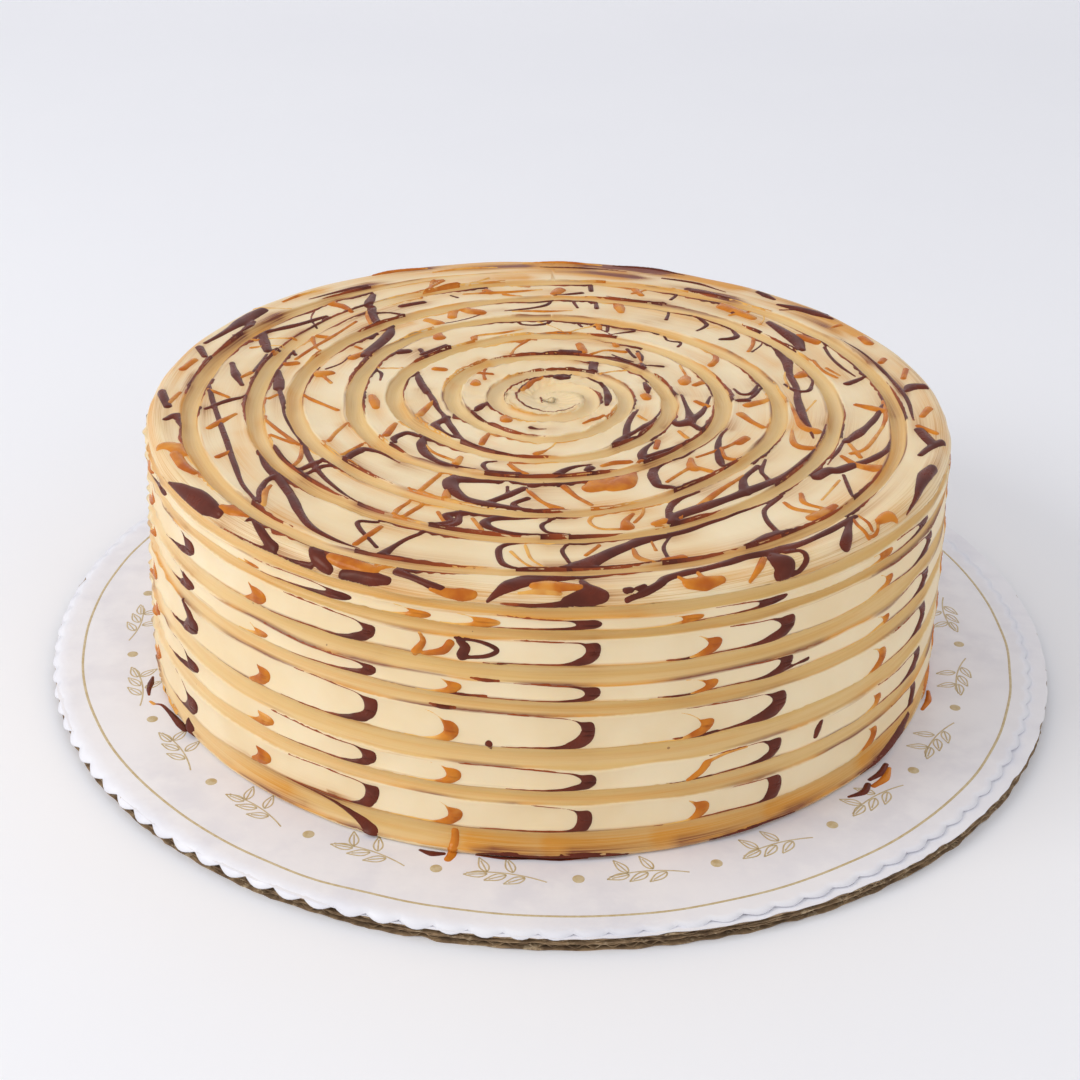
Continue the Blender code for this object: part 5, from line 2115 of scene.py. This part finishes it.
@dataclass
class TopSauce:
    """One sauce on the top and the rim, cut off where the comb took it out of a groove."""

    form: CakeForm
    sauce: Sauce
    half_side: float = 137.2
    cell: float = 0.46
    overlap: float = 0.12
    near_edge: float = 2.6
    inmost: float = 9.0
    end_room: float = 0.02
    shortest: float = 4.0

    def _nearest_edge(self, degrees: float, run: float) -> tuple:
        """Find the nearest edge of the spiral groove.

        Args:
            degrees: The angle of a place.
            run: Its run in millimetres.

        Returns:
            How far off the edge is, the spiral's turns there, and 0 for the inner edge or 1
            for the outer one.
        """
        form = self.form
        part = ((math.radians(degrees) - form.spiral_start) / TAU) % 1.0
        choices = []
        for k in range(math.ceil(form.turns)):
            if k + part > form.turns:
                continue
            inner, outer, _ = form.spiral_edges(k + part)
            choices.append((abs(run - inner / MM), k + part, 0))
            choices.append((abs(run - outer / MM), k + part, 1))
        return min(choices)

    def _tails(self) -> list:
        """Return the tails of both sauces that drag from the strokes' ends along a groove edge."""
        draw = random.Random(23)
        tails = []
        for stroke in TOP_STROKES:
            lengths = draw.uniform(8.0, 34.0), draw.uniform(8.0, 34.0)
            for end in (0, -1):
                degrees, run = stroke.path[end]
                if stroke.widths[end] < 1.0 or run < self.inmost:
                    continue
                away, turns, which = self._nearest_edge(degrees, run)
                length = min(lengths[end], (self.form.turns - self.end_room - turns) * TAU * run)
                if away <= self.near_edge and length > self.shortest:
                    tails.append(Tail(stroke.sauce, degrees, run, stroke.widths[end], length, turns, which))
        return tails

    def _ribbon(self, tail: Tail, length: float) -> tuple:
        """Drag a thin ribbon along the groove edge that a stroke ends at.

        Args:
            tail: Where the ribbon starts.
            length: Its length in millimetres.

        Returns:
            The ribbon's points, faces and bodies.
        """
        form = self.form
        degrees, run, width, turns, which = tail.degrees, tail.run, tail.width, tail.turns, tail.edge
        gone = np.linspace(-0.3 * width, length, max(5, int(length / 0.8)))
        share = np.clip(gone / length, 0.0, 1.0)
        edge = form.spiral_edges(np.clip(turns + gone / (TAU * run), 0.0, form.turns))[which] / MM
        fade = np.clip(2.5 * (1.0 - share), 0.02, 1.0)
        wavy = 1.0 + Wander(int(7.0 * degrees) + int(run), 0.3, 2, 12, 6).at(gone / 6.0)
        wide = (0.5 * min(width, 2.4) * (1.0 - share) ** 0.8 + 0.20) * fade * wavy
        offsets = np.stack([-0.30 * fade, 0.1 * wide, 0.6 * wide, wide])
        tall = 1.0 if self.sauce is Sauce.CHOCOLATE else 0.5
        lifts = tall * np.array([0.0, 0.34, 0.31, 0.0])[:, None] * fade * (1.0 - 0.5 * share) - 0.04
        runs = edge + (offsets if which else -offsets)
        points = form.place(math.radians(degrees) + gone / run, runs * MM, lifts * MM)
        rows = np.arange(offsets.size).reshape(offsets.shape)
        body = np.broadcast_to(0.75 * (1.0 - share) ** 1.5, offsets.shape)
        return points.reshape(-1, 3), [grid_quads(rows if which else rows[::-1])], body.ravel()

    def build(self, sheet: SheetForm) -> list:
        """Pour the strokes and mesh the sauce.

        Args:
            sheet: How the sauce stands.

        Returns:
            The points, the faces and the bodies of the sauce and of each of its tails.
        """
        parts = []
        side = np.arange(-self.half_side, self.half_side + 0.01, self.cell)
        pour = Pour(side, side)
        pour.strokes(TOP_STROKES, self.sauce, flat_chart, 0.4, 0.07)
        tails = self._tails()
        for tail in tails:
            length = tail.free_of(tails)
            if tail.sauce is self.sauce and length > self.shortest:
                parts.append(self._ribbon(tail, length))
        depth = pour.depth()
        wet = depth > -0.5
        x, y = np.meshgrid(side, side)
        x, y = x[wet], y[wet]
        gap = self.form.land_gap(np.arctan2(y, x), np.hypot(x, y) * MM) / MM
        depth[wet] = np.minimum(depth[wet], gap + self.overlap)
        return [sheet.mesh(pour, depth, self._place, False)] + parts

    def _place(self, x: Array, y: Array, lift: Array) -> Array:
        """Return points on the cake for places on the flat grid."""
        return self.form.place(np.arctan2(y, x), np.hypot(x, y) * MM, lift)


@dataclass
class SideSauce:
    """One sauce on the lands of the side, on a grid unrolled from the back of the cake."""

    form: CakeForm
    sauce: Sauce
    width: float
    seam: float = 94.5
    cell: float = 0.42
    fine_cell: float = 0.25
    edge_noise: float = 0.02

    def _x(self, degrees: Array) -> Array:
        """Return the distance round from the seam, in millimetres."""
        return np.radians(np.mod(np.asarray(degrees, float) - self.seam, 360.0)) * self.form.base_radius / MM

    def _chart(self, degrees: Array, share: Array) -> Array:
        """Return places on the grid for some angles and shares of the cake's height."""
        return np.stack([self._x(degrees), self.form.run_of_share(share) / MM], axis=-1)

    def _angle(self, x: Array) -> Array:
        """Return the angle in radians of a distance round from the seam."""
        return math.radians(self.seam) + x * MM / self.form.base_radius

    def _drip(self, degrees: float, land: int, draw: random.Random) -> Drip:
        """Draw a drip's own shape.

        Args:
            degrees: Its angle.
            land: The number of its land, from the top.
            draw: Where its random numbers come from.

        Returns:
            The drip.
        """
        x = float(self._x(degrees)) + draw.uniform(-0.8, 0.8)
        width = self.width * draw.uniform(0.86, 1.12) * (draw.uniform(1.4, 2.8) if land == 1 else 1.0)
        lean, short = draw.uniform(0.4, 2.6), land == 6
        blob = 195.0 < degrees < 235.0
        width *= 1.45 if blob and land > 1 else 1.0
        stub, hang = (0.42, 0.26) if blob else (1.0, 0.0)
        if self.sauce is Sauce.CHOCOLATE:
            noses = (draw.uniform(1.6, 3.0), draw.uniform(2.4, 4.0)) if short else (
                draw.uniform(2.2, 6.0), draw.uniform(8.0, 15.0))
            return Drip(x, land, width, noses, draw.uniform(2.0, 2.8) if short else draw.uniform(1.7, 2.2),
                        (draw.uniform(0.42, 0.65), draw.uniform(0.55, 0.8)),
                        (stub * draw.uniform(20, 56), stub * draw.uniform(26, 50)), lean,
                        draw.uniform(-0.15, 0.35), hang + draw.uniform(0.04, 0.2),
                        (0.5 * width, (0.6 if short else 1.4) * width))
        return Drip(x, land, width, (draw.uniform(1.6, 3.6), draw.uniform(3.0, 8.0)),
                    draw.uniform(1.7, 2.2), (draw.uniform(0.36, 0.5), draw.uniform(0.42, 0.7)),
                    (stub * draw.uniform(6, 16), stub * draw.uniform(10, 24)), lean, draw.uniform(-0.1, 0.3),
                    0.6 * hang + draw.uniform(0.16, 0.5), (0.8 * width, 1.1 * width))

    def _drips(self) -> list:
        """Return all the drips of this sauce."""
        dark = self.sauce is Sauce.CHOCOLATE
        draw = random.Random(11 if dark else 13)
        drips = []
        for land in range(1, len(self.form.side_grooves)):
            angles = CHOCOLATE_ANGLES if dark else CARAMEL_ANGLES
            if land == 1:
                angles = FIRST_LAND_CHOCOLATE if dark else FIRST_LAND_CARAMEL
            for degrees in angles:
                drip = self._drip(degrees, land, draw)
                if (land, degrees) not in ((2, 259), (5, 290.5)):
                    drips.append(drip)
        return drips

    def build(self, sheet: SheetForm) -> tuple:
        """Pour the drips and the loose strokes and mesh the sauce.

        Args:
            sheet: How the sauce stands.

        Returns:
            The points, the faces and the bodies.
        """
        form = self.form
        x = np.arange(0.0, TAU * form.base_radius / MM, self.cell)
        y = np.arange((form.wall_run - 0.0014) / MM, (form.foot_run + 0.0001) / MM, self.fine_cell)
        pour = Pour(x, y)
        for drip in self._drips():
            lower = form.run_of_share(form.side_grooves[drip.land - 1][1]) / MM
            upper = form.run_of_share(form.side_grooves[drip.land][0]) / MM

            def deep(across: Array, down: Array) -> Array:
                """Return how deep inside this drip some places are.

                Args:
                    across: Places round the side in millimetres.
                    down: Their runs in millimetres.

                Returns:
                    The depths in millimetres.
                """
                angle = self._angle(across)
                low = form.side_edges(drip.land - 1, angle)[1] / MM
                return drip.depth(across, down, low, form.side_edges(drip.land, angle)[0] / MM)

            left, right = drip.x - max(drip.tails) - 6.0, drip.x + drip.width + 3.0
            pour.shape(left, right, lower - 1.2, upper + 1.2, deep)
        pour.strokes(SIDE_STROKES, self.sauce, self._chart, 0.35)
        depth = pour.depth()
        noise = Wander(401, self.edge_noise, 60, 260, 16).at(self._angle(x))
        tilt = Wander(402, self.edge_noise, 40, 200, 16).at(self._angle(x))
        depth = depth + noise + tilt * np.sin(0.9 * y)[:, None]
        return sheet.mesh(pour, depth, self._place, True)

    def _place(self, x: Array, y: Array, lift: Array) -> Array:
        """Return points on the cake's side for places on the unrolled grid."""
        return self.form.place(self._angle(x), y * MM, lift)


@dataclass
class LinerSauce:
    """Splashes of one sauce that landed on the paper liner beside the cake."""

    sauce: Sauce
    liner: "Liner"
    cell: float = 0.4
    half_side: float = 162.0

    def build(self, sheet: SheetForm) -> tuple:
        """Pour the splashes and mesh the sauce.

        Args:
            sheet: How the sauce stands.

        Returns:
            The points, the faces and the bodies.
        """
        side = np.arange(-self.half_side, self.half_side + 0.01, self.cell)
        pour = Pour(side, side)
        pour.strokes(LINER_STROKES, self.sauce, flat_chart, 0.35)
        return sheet.mesh(pour, pour.depth(), self._place, False)

    def _place(self, x: Array, y: Array, lift: Array) -> Array:
        """Return points on the liner for places on the flat grid, centred on the cake."""
        x, y = x * MM + CakeForm().centre[0], y * MM + CakeForm().centre[1]
        return np.stack([x, y, self.liner.top(x, y) + lift], axis=-1)


@dataclass
class SauceLines:
    """All the chocolate and caramel that was poured over the cake and combed through."""

    form: CakeForm
    liner: "Liner"
    chocolate_width: float = 5.0
    caramel_width: float = 4.2
    chocolate_sheet: SheetForm = SheetForm(rise=0.0009, full_body=0.8)
    caramel_sheet: SheetForm = SheetForm(rise=0.0010, full_body=1.2)
    splash_sunk: float = 0.00004

    def _join(self, name: str, parts: list, material: bpy.types.Material) -> bpy.types.Object:
        """Join meshed sheets into one piece.

        Args:
            name: The piece's name.
            parts: The points, faces and bodies of each sheet.
            material: The sauce's finish.

        Returns:
            The piece.
        """
        points, faces = join_parts([part[:2] for part in parts])
        return new_piece(name, points, faces, material, {"body": np.concatenate([part[2] for part in parts])})

    def build(self, effects: Effects) -> list:
        """Build both sauces.

        Args:
            effects: The shared node groups.

        Returns:
            The pieces, each sauce's top and side.
        """
        pieces = []
        for finish, sauce, width, sheet in (
                (CHOCOLATE_FINISH, Sauce.CHOCOLATE, self.chocolate_width, self.chocolate_sheet),
                (CARAMEL_FINISH, Sauce.CARAMEL, self.caramel_width, self.caramel_sheet)):
            material = finish.build(effects)
            top = TopSauce(self.form, sauce).build(sheet)
            pieces.append(self._join(f"{sauce.value}_top", top, material))
            side = SideSauce(self.form, sauce, width).build(sheet)
            thin = SheetForm(rise=sheet.rise, sunk=self.splash_sunk)
            splashes = LinerSauce(sauce, self.liner).build(thin)
            pieces.append(self._join(f"{sauce.value}_side", [side, splashes], material))
        return pieces


@dataclass
class Liner:
    """The scalloped paper liner and its printed ring, sprigs and dots."""

    centre: tuple = (-0.0032, -0.0032)
    radius: float = 0.1736
    underside: float = 0.0050
    thickness: float = 0.0004
    scallops: int = 108
    scallop_depth: float = 0.0016
    scallop_steps: int = 7
    droop_start: float = 0.1748
    droop: float = 0.45
    droop_bend: float = 60.0
    print_centre: tuple = (-0.0015, -0.0034)
    ring_radius: float = 0.1648
    ring_width: float = 0.0009
    motif_radius: float = 0.1480
    motifs: int = 22
    first_sprig: float = 200.2
    leaves: tuple = (
        (-5.6, -1.0, -116.0), (2.0, -1.4, -112.0), (-5.0, -0.9, 172.0), (0.6, -1.2, 154.0),
        (6.2, -0.6, 150.0),
    )
    leaf_size: tuple = (7.0, 1.45)
    vein: float = 0.78
    dot_radius: float = 0.0019
    line_step: float = 0.0011
    line_width: float = 0.00055
    ink_height: float = 0.00005
    ink_sunk: float = 0.00002

    def top(self, x: Array, y: Array) -> Array:
        """Return the height of the paper's upper face.

        Args:
            x: Places along X.
            y: Places along Y.

        Returns:
            The heights.
        """
        angle = np.arctan2(y, x)
        reach = np.hypot(x, y)
        loose = smooth_step(0.140, 0.176, reach)
        ripple = 0.00020 * (1.0 + Wander(71, 0.5, 5, 34).at(angle)) * loose
        over = np.clip(reach - self.droop_start, 0.0, 1.0)
        droop = self.droop * over + self.droop_bend * over**2
        return self.underside + self.thickness + np.maximum(ripple, 0.0) - droop

    def build_paper(self, material: bpy.types.Material) -> bpy.types.Object:
        """Build the liner's sheet.

        Args:
            material: Its finish.

        Returns:
            The piece.
        """
        n = self.scallops * self.scallop_steps
        angle = TAU * np.arange(n) / n
        across = math.pi * (np.arange(n) % self.scallop_steps) / self.scallop_steps
        edge = self.radius - self.scallop_depth * (1.0 - np.sin(across))
        shares = np.array([0.02, 0.35, 0.60, 0.74, 0.80, 0.85, 0.89, 0.92, 0.95, 0.97, 0.985, 1.0])
        reach = edge * shares[:, None]
        x = self.centre[0] + reach * np.cos(angle)
        y = self.centre[1] + reach * np.sin(angle)
        upper = np.stack([x, y, self.top(x, y)], axis=-1)
        lower = upper - np.array([0.0, 0.0, self.thickness])
        points = np.concatenate([upper.reshape(-1, 3), lower.reshape(-1, 3)])
        rows = closed_rows(len(shares), n)
        under = rows + len(shares) * n
        faces = [grid_quads(rows), grid_quads(under)[:, ::-1], grid_quads(np.stack([rows[-1], under[-1]])),
                 rows[:1, :-1], under[:1, -2::-1]]
        return new_piece("liner_sheet", points, faces, material)

    def _inked(self, places: Array, *lifts: float) -> Array:
        """Return points over the paper, with a lift for each column of the places."""
        height = self.top(places[..., 0], places[..., 1]) + np.array(lifts)
        return np.concatenate([places, height[..., None]], axis=-1)

    def _stroke(self, points: Array, width: float) -> Array:
        """Print a line.

        Args:
            points: The points that it passes.
            width: Its width.

        Returns:
            The line as a grid of points, four across.
        """
        line, _ = smooth_line(points, self.line_step)
        along = np.gradient(line, axis=0)
        along /= np.linalg.norm(along, axis=1)[:, None] + 1e-12
        side = np.stack([-along[:, 1], along[:, 0]], axis=-1)
        spots = np.array([-1.0, -0.8, 0.8, 1.0]) * width / 2.0
        places = line[:, None] + side[:, None] * spots[None, :, None]
        return self._inked(places, -self.ink_sunk, self.ink_height, self.ink_height, -self.ink_sunk)

    def _sprig(self, degrees: float) -> list:
        """Lay out one sprig: a bent stem with five outlined leaves.

        Args:
            degrees: Its angle.

        Returns:
            Its lines, each as points.
        """
        turn = math.radians(degrees)
        out = np.array([math.cos(turn), math.sin(turn)])
        along = np.array([-math.sin(turn), math.cos(turn)])
        origin = np.array(self.print_centre) + out * self.motif_radius

        def at(forward: Array, outward: Array) -> Array:
            """Return places for distances along and out from the sprig's middle, in millimetres."""
            forward, outward = np.asarray(forward) * MM, np.asarray(outward) * MM
            return origin + forward[..., None] * along + outward[..., None] * out

        t = np.linspace(-1.0, 1.0, 9)
        lines = [at(12.0 * t, 1.8 * t**2 + 0.9 * t - 1.6)]
        length, half = self.leaf_size
        s = np.linspace(0.0, 1.0, 13)
        for forward, outward, lean in self.leaves:
            way = math.radians(lean)
            for hand in (1.0, -1.0, 0.0):
                wide = hand * half * np.sin(math.pi * s**0.8) * (1.1 - 0.35 * s)
                reach = s * length * (1.0 if hand else self.vein) + 0.9
                lines.append(at(forward + reach * math.cos(way) - wide * math.sin(way),
                                outward + reach * math.sin(way) + wide * math.cos(way)))
        return lines

    def build_print(self, material: bpy.types.Material) -> bpy.types.Object:
        """Build the print as thin raised ink.

        Args:
            material: Its finish.

        Returns:
            The piece.
        """
        grids = []
        for k in range(self.motifs):
            degrees = self.first_sprig + 360.0 * k / self.motifs
            for line in self._sprig(degrees):
                grids.append((self._stroke(line, self.line_width), False))
            way = math.radians(degrees + 180.0 / self.motifs)
            away = self.motif_radius * np.array([math.cos(way), math.sin(way)])
            spot = np.array(self.print_centre) + away
            spin = TAU * np.arange(21) / 20
            disc = np.stack([spot + r * self.dot_radius * np.stack([np.cos(spin), np.sin(spin)], -1)
                             for r in (0.03, 0.9, 1.0)], axis=1)
            grids.append((self._inked(disc, self.ink_height, self.ink_height, -self.ink_sunk), True))
        angle = TAU * np.arange(361) / 360
        wobble = Wander(81, 0.00012, 8, 40).at(angle)
        ring = []
        for offset in (-0.5, -0.4, 0.4, 0.5):
            reach = self.ring_radius + wobble + offset * self.ring_width
            ring.append(np.stack([self.print_centre[0] + reach * np.cos(angle),
                                  self.print_centre[1] + reach * np.sin(angle)], -1))
        ring = self._inked(np.stack(ring, axis=1), -self.ink_sunk, self.ink_height, self.ink_height,
                           -self.ink_sunk)
        grids.append((ring, True))
        parts = []
        for grid, closed in grids:
            kept = grid[:-1] if closed else grid
            number = np.arange(kept.size // 3).reshape(kept.shape[:2])
            quads = grid_quads(np.concatenate([number, number[:1]]) if closed else number)
            across, along = grid[0, 1] - grid[0, 0], grid[1, 0] - grid[0, 0]
            facing_up = np.cross(along, across)[2] >= 0.0
            parts.append((kept.reshape(-1, 3), [quads if facing_up else quads[:, ::-1]]))
        return new_piece("liner_print", *join_parts(parts), material)


@dataclass
class CakeCard:
    """The cake card: two plies of corrugated board with a white top."""

    radius: float = 0.1770
    thickness: float = 0.0047
    facing: float = 0.00036
    flute_pitch: float = 0.0052
    flute_thickness: float = 0.00024
    flute_inner: float = 0.1640
    flute_rim: float = 0.0009
    flute_torn: float = 0.0006
    rim_ease: float = 0.0006
    rim_blunt: float = 0.2
    bend_reach: float = 0.006
    sharp_angle: float = math.radians(40.0)
    core_radius: float = 0.1642
    core_foot: float = 0.0003
    core_top: float = 0.0043
    inner: float = 0.02
    segments: int = 720

    def _ring(self, low: float, high: float, seed: int, torn: float) -> tuple:
        """Return one facing as a thin disc whose rim wanders a little.

        Args:
            low: The height of its lower face.
            high: The height of its upper face.
            seed: The seed of its rim.
            torn: How far the rim wanders.

        Returns:
            The points and the faces.
        """
        n = self.segments
        angle = TAU * np.arange(n) / n
        rim = self.radius - torn - np.abs(Wander(seed, torn, 9, 150, 14).at(angle))
        bend = Wander(seed + 9, 0.00012, 7, 60).at(angle)
        eased, blunt = rim - self.rim_ease, self.rim_blunt * (high - low)
        rows = [(self.inner, low), (eased, low), (rim, low + blunt), (rim, high - blunt), (eased, high),
                (self.inner, high)]
        grid = []
        for reach, height in rows:
            reach = np.broadcast_to(reach, angle.shape)
            droop = np.where(reach > self.radius - self.bend_reach, bend, 0.0)
            grid.append(np.stack([reach * np.cos(angle), reach * np.sin(angle), height + droop], -1))
        loop = closed_rows(len(rows), n)
        return np.concatenate(grid), [grid_quads(loop), loop[:1, -2::-1], loop[-1:, :-1]]

    def _flutes(self, low: float, high: float, way: float, seed: int) -> tuple:
        """Return the wavy inner sheet of one ply, a band just inside the rim.

        Args:
            low: The height of the wave's feet.
            high: The height of its crests.
            way: The direction across the flutes, in radians.
            seed: The seed of its rim.

        Returns:
            The points and the faces.
        """
        n = 2 * self.segments
        angle = TAU * np.arange(n) / n
        rim = self.radius - self.flute_rim - np.abs(Wander(seed, self.flute_torn, 20, 200, 14).at(angle))
        grid = []
        for reach, side in ((self.flute_inner, -1), (rim, -1), (rim, 1), (self.flute_inner, 1)):
            reach = np.broadcast_to(reach, angle.shape)
            x, y = reach * np.cos(angle), reach * np.sin(angle)
            phase = TAU * (x * math.cos(way) + y * math.sin(way)) / self.flute_pitch
            middle = 0.5 * (low + high) + 0.5 * (high - low - self.flute_thickness) * np.sin(phase)
            grid.append(np.stack([x, y, middle + side * 0.5 * self.flute_thickness], -1))
        loop = closed_rows(4, n)
        return np.concatenate(grid), [grid_quads(np.concatenate([loop, loop[:1]]))]

    def build(self, kraft: bpy.types.Material, white: bpy.types.Material) -> list:
        """Build the card's brown board and its white top sheet.

        Args:
            kraft: The board's finish.
            white: The top sheet's finish.

        Returns:
            The pieces.
        """
        middle, top = 0.5 * self.thickness, self.thickness
        upper, under = top - self.facing, top - 2.0 * self.facing
        parts = [
            self._ring(0.0, self.facing, 301, 0.00035),
            self._ring(middle - self.facing, middle, 302, 0.00050),
            self._ring(middle + 0.00005, middle + self.facing, 303, 0.00040),
            self._ring(under, upper, 304, 0.00030),
            self._flutes(self.facing, middle - self.facing, math.radians(20.0), 311),
            self._flutes(middle + self.facing, under, math.radians(64.0), 312),
            self._core(),
        ]
        pieces = [new_piece("card_board", *join_parts(parts), kraft),
                  new_piece("card_top_sheet", *self._ring(upper, top, 305, 0.00025), white)]
        for piece in pieces:
            piece.data.set_sharp_from_angle(angle=self.sharp_angle)
        return pieces

    def _core(self) -> tuple:
        """Return the plain body of the board well inside the rim."""
        n = 180
        angle = TAU * np.arange(n) / n
        reach = self.core_radius
        grid = [np.stack([reach * np.cos(angle), reach * np.sin(angle), np.full(n, height)], -1)
                for height in (self.core_foot, self.core_top)]
        loop = closed_rows(2, n)
        return np.concatenate(grid), [grid_quads(loop), loop[:1, -2::-1], loop[1:, :-1]]


@dataclass
class Studio:
    """The pale floor and backdrop, the soft lights and the camera."""

    half_width: float = 3.0
    front: float = -2.2
    back_start: float = 0.9
    back_height: float = 1.4
    bend: float = 0.5
    bend_steps: int = 12
    clearance: float = 0.0001
    camera_place: tuple = (-0.00611, -0.57749, 0.35109)
    pitch: float = 0.49952
    heading: float = -0.00185
    roll: float = 0.02441
    lens: float = 61.33
    room_colour: tuple = (0.965, 0.975, 1.0, 1.0)
    room_strength: float = 0.73

    def build_floor(self) -> bpy.types.Object:
        """Build the floor, swept up behind into the backdrop."""
        profile = [(self.front, 0.0), (self.back_start, 0.0)]
        for k in range(1, self.bend_steps + 1):
            turn = math.pi / 2.0 * k / self.bend_steps
            profile.append((self.back_start + self.bend * math.sin(turn), self.bend * (1.0 - math.cos(turn))))
        profile.append((self.back_start + self.bend, self.bend + self.back_height))
        sides = (-self.half_width, self.half_width)
        points = np.array([(x, y, z - self.clearance) for y, z in profile for x in sides])
        rows = np.arange(len(points)).reshape(-1, 2)
        material, graph, shader = new_material("pale_floor")
        pale = graph.mix(graph.noise(6.0, 2.0), srgb(246, 246, 249), srgb(243, 243, 247))
        graph.fill(shader, {"Base Color": pale, "Roughness": 0.85})
        floor = new_piece("floor", points, [grid_quads(rows)], material)
        return floor

    def build_lights(self) -> None:
        """Set the soft lights and the pale surroundings."""
        world = bpy.data.worlds.new("pale_room")
        world.use_nodes = True
        background = world.node_tree.nodes["Background"]
        background.inputs["Color"].default_value = self.room_colour
        background.inputs["Strength"].default_value = self.room_strength
        bpy.context.scene.world = world
        self._area("key", (-1.35, -0.6, 1.05), 0.9, 12.5, (1.0, 0.99, 0.98))
        self._area("fill", (1.2, -1.0, 0.9), 1.2, 2.0, (0.96, 0.97, 1.0))

    def _area(self, name: str, place: tuple, size: float, power: float, colour: tuple) -> None:
        """Add one square light aimed at the cake.

        Args:
            name: Its name.
            place: Where it stands.
            size: The length of its side.
            power: Its power in watts.
            colour: Its colour.
        """
        data = bpy.data.lights.new(name, "AREA")
        data.size = size
        data.energy = power
        data.color = colour
        item = bpy.data.objects.new(name, data)
        item.location = place
        aim = Vector((0.0, 0.0, 0.05)) - Vector(place)
        item.rotation_euler = aim.to_track_quat("-Z", "Y").to_euler()
        bpy.context.scene.collection.objects.link(item)

    def build_camera(self) -> None:
        """Set the camera where the picture was taken from."""
        data = bpy.data.cameras.new("camera")
        data.lens = self.lens
        data.sensor_width = 36.0
        camera = bpy.data.objects.new("camera", data)
        bpy.context.scene.collection.objects.link(camera)
        camera.matrix_world = (
            Matrix.Translation(self.camera_place)
            @ Matrix.Rotation(self.heading, 4, "Z")
            @ Matrix.Rotation(math.pi / 2.0 - self.pitch, 4, "X")
            @ Matrix.Rotation(self.roll, 4, "Z")
        )
        bpy.context.scene.camera = camera


def dress(item: bpy.types.Object, slot: str, *nodes: str) -> None:
    """Let a piece ride on the cake's body, hide the parts that it replaces and log its triangles.

    Args:
        item: The piece.
        slot: The record's material slot; not used.
        *nodes: The nodes that it replaces.
    """
    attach(item, "root")
    if nodes:
        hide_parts(*nodes)
    LOG.info("%s: %d triangles", item.name, triangle_count(item))


def main() -> None:
    """Build the looks of the whole object and its studio."""
    logging.basicConfig(level=logging.INFO, format="%(message)s")
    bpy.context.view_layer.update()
    bpy.context.scene.view_settings.view_transform = "Standard"
    effects = Effects()
    form = CakeForm()
    studio = Studio()
    studio.build_camera()
    studio.build_floor()
    studio.build_lights()
    for item in Frosting(form).build(FrostingFinish().build(effects)):
        dress(item, "frosting", "cake")
    liner = Liner()
    for item in SauceLines(form, liner).build(effects):
        dress(item, item.name.split("_")[0], "cake")
    paper = PaperFinish("liner_paper").build(effects)
    dress(liner.build_paper(paper), "liner_paper", "card_liner")
    dress(liner.build_print(InkFinish().build(effects)), "liner_paper", "card_liner")
    kraft = KraftFinish().build(effects)
    board, sheet = CakeCard().build(kraft, PaperFinish("card_white").build(effects))
    dress(board, "kraft_board", "cake_card")
    dress(sheet, "kraft_board", "cake_card")


if __name__ == "__main__":
    main()
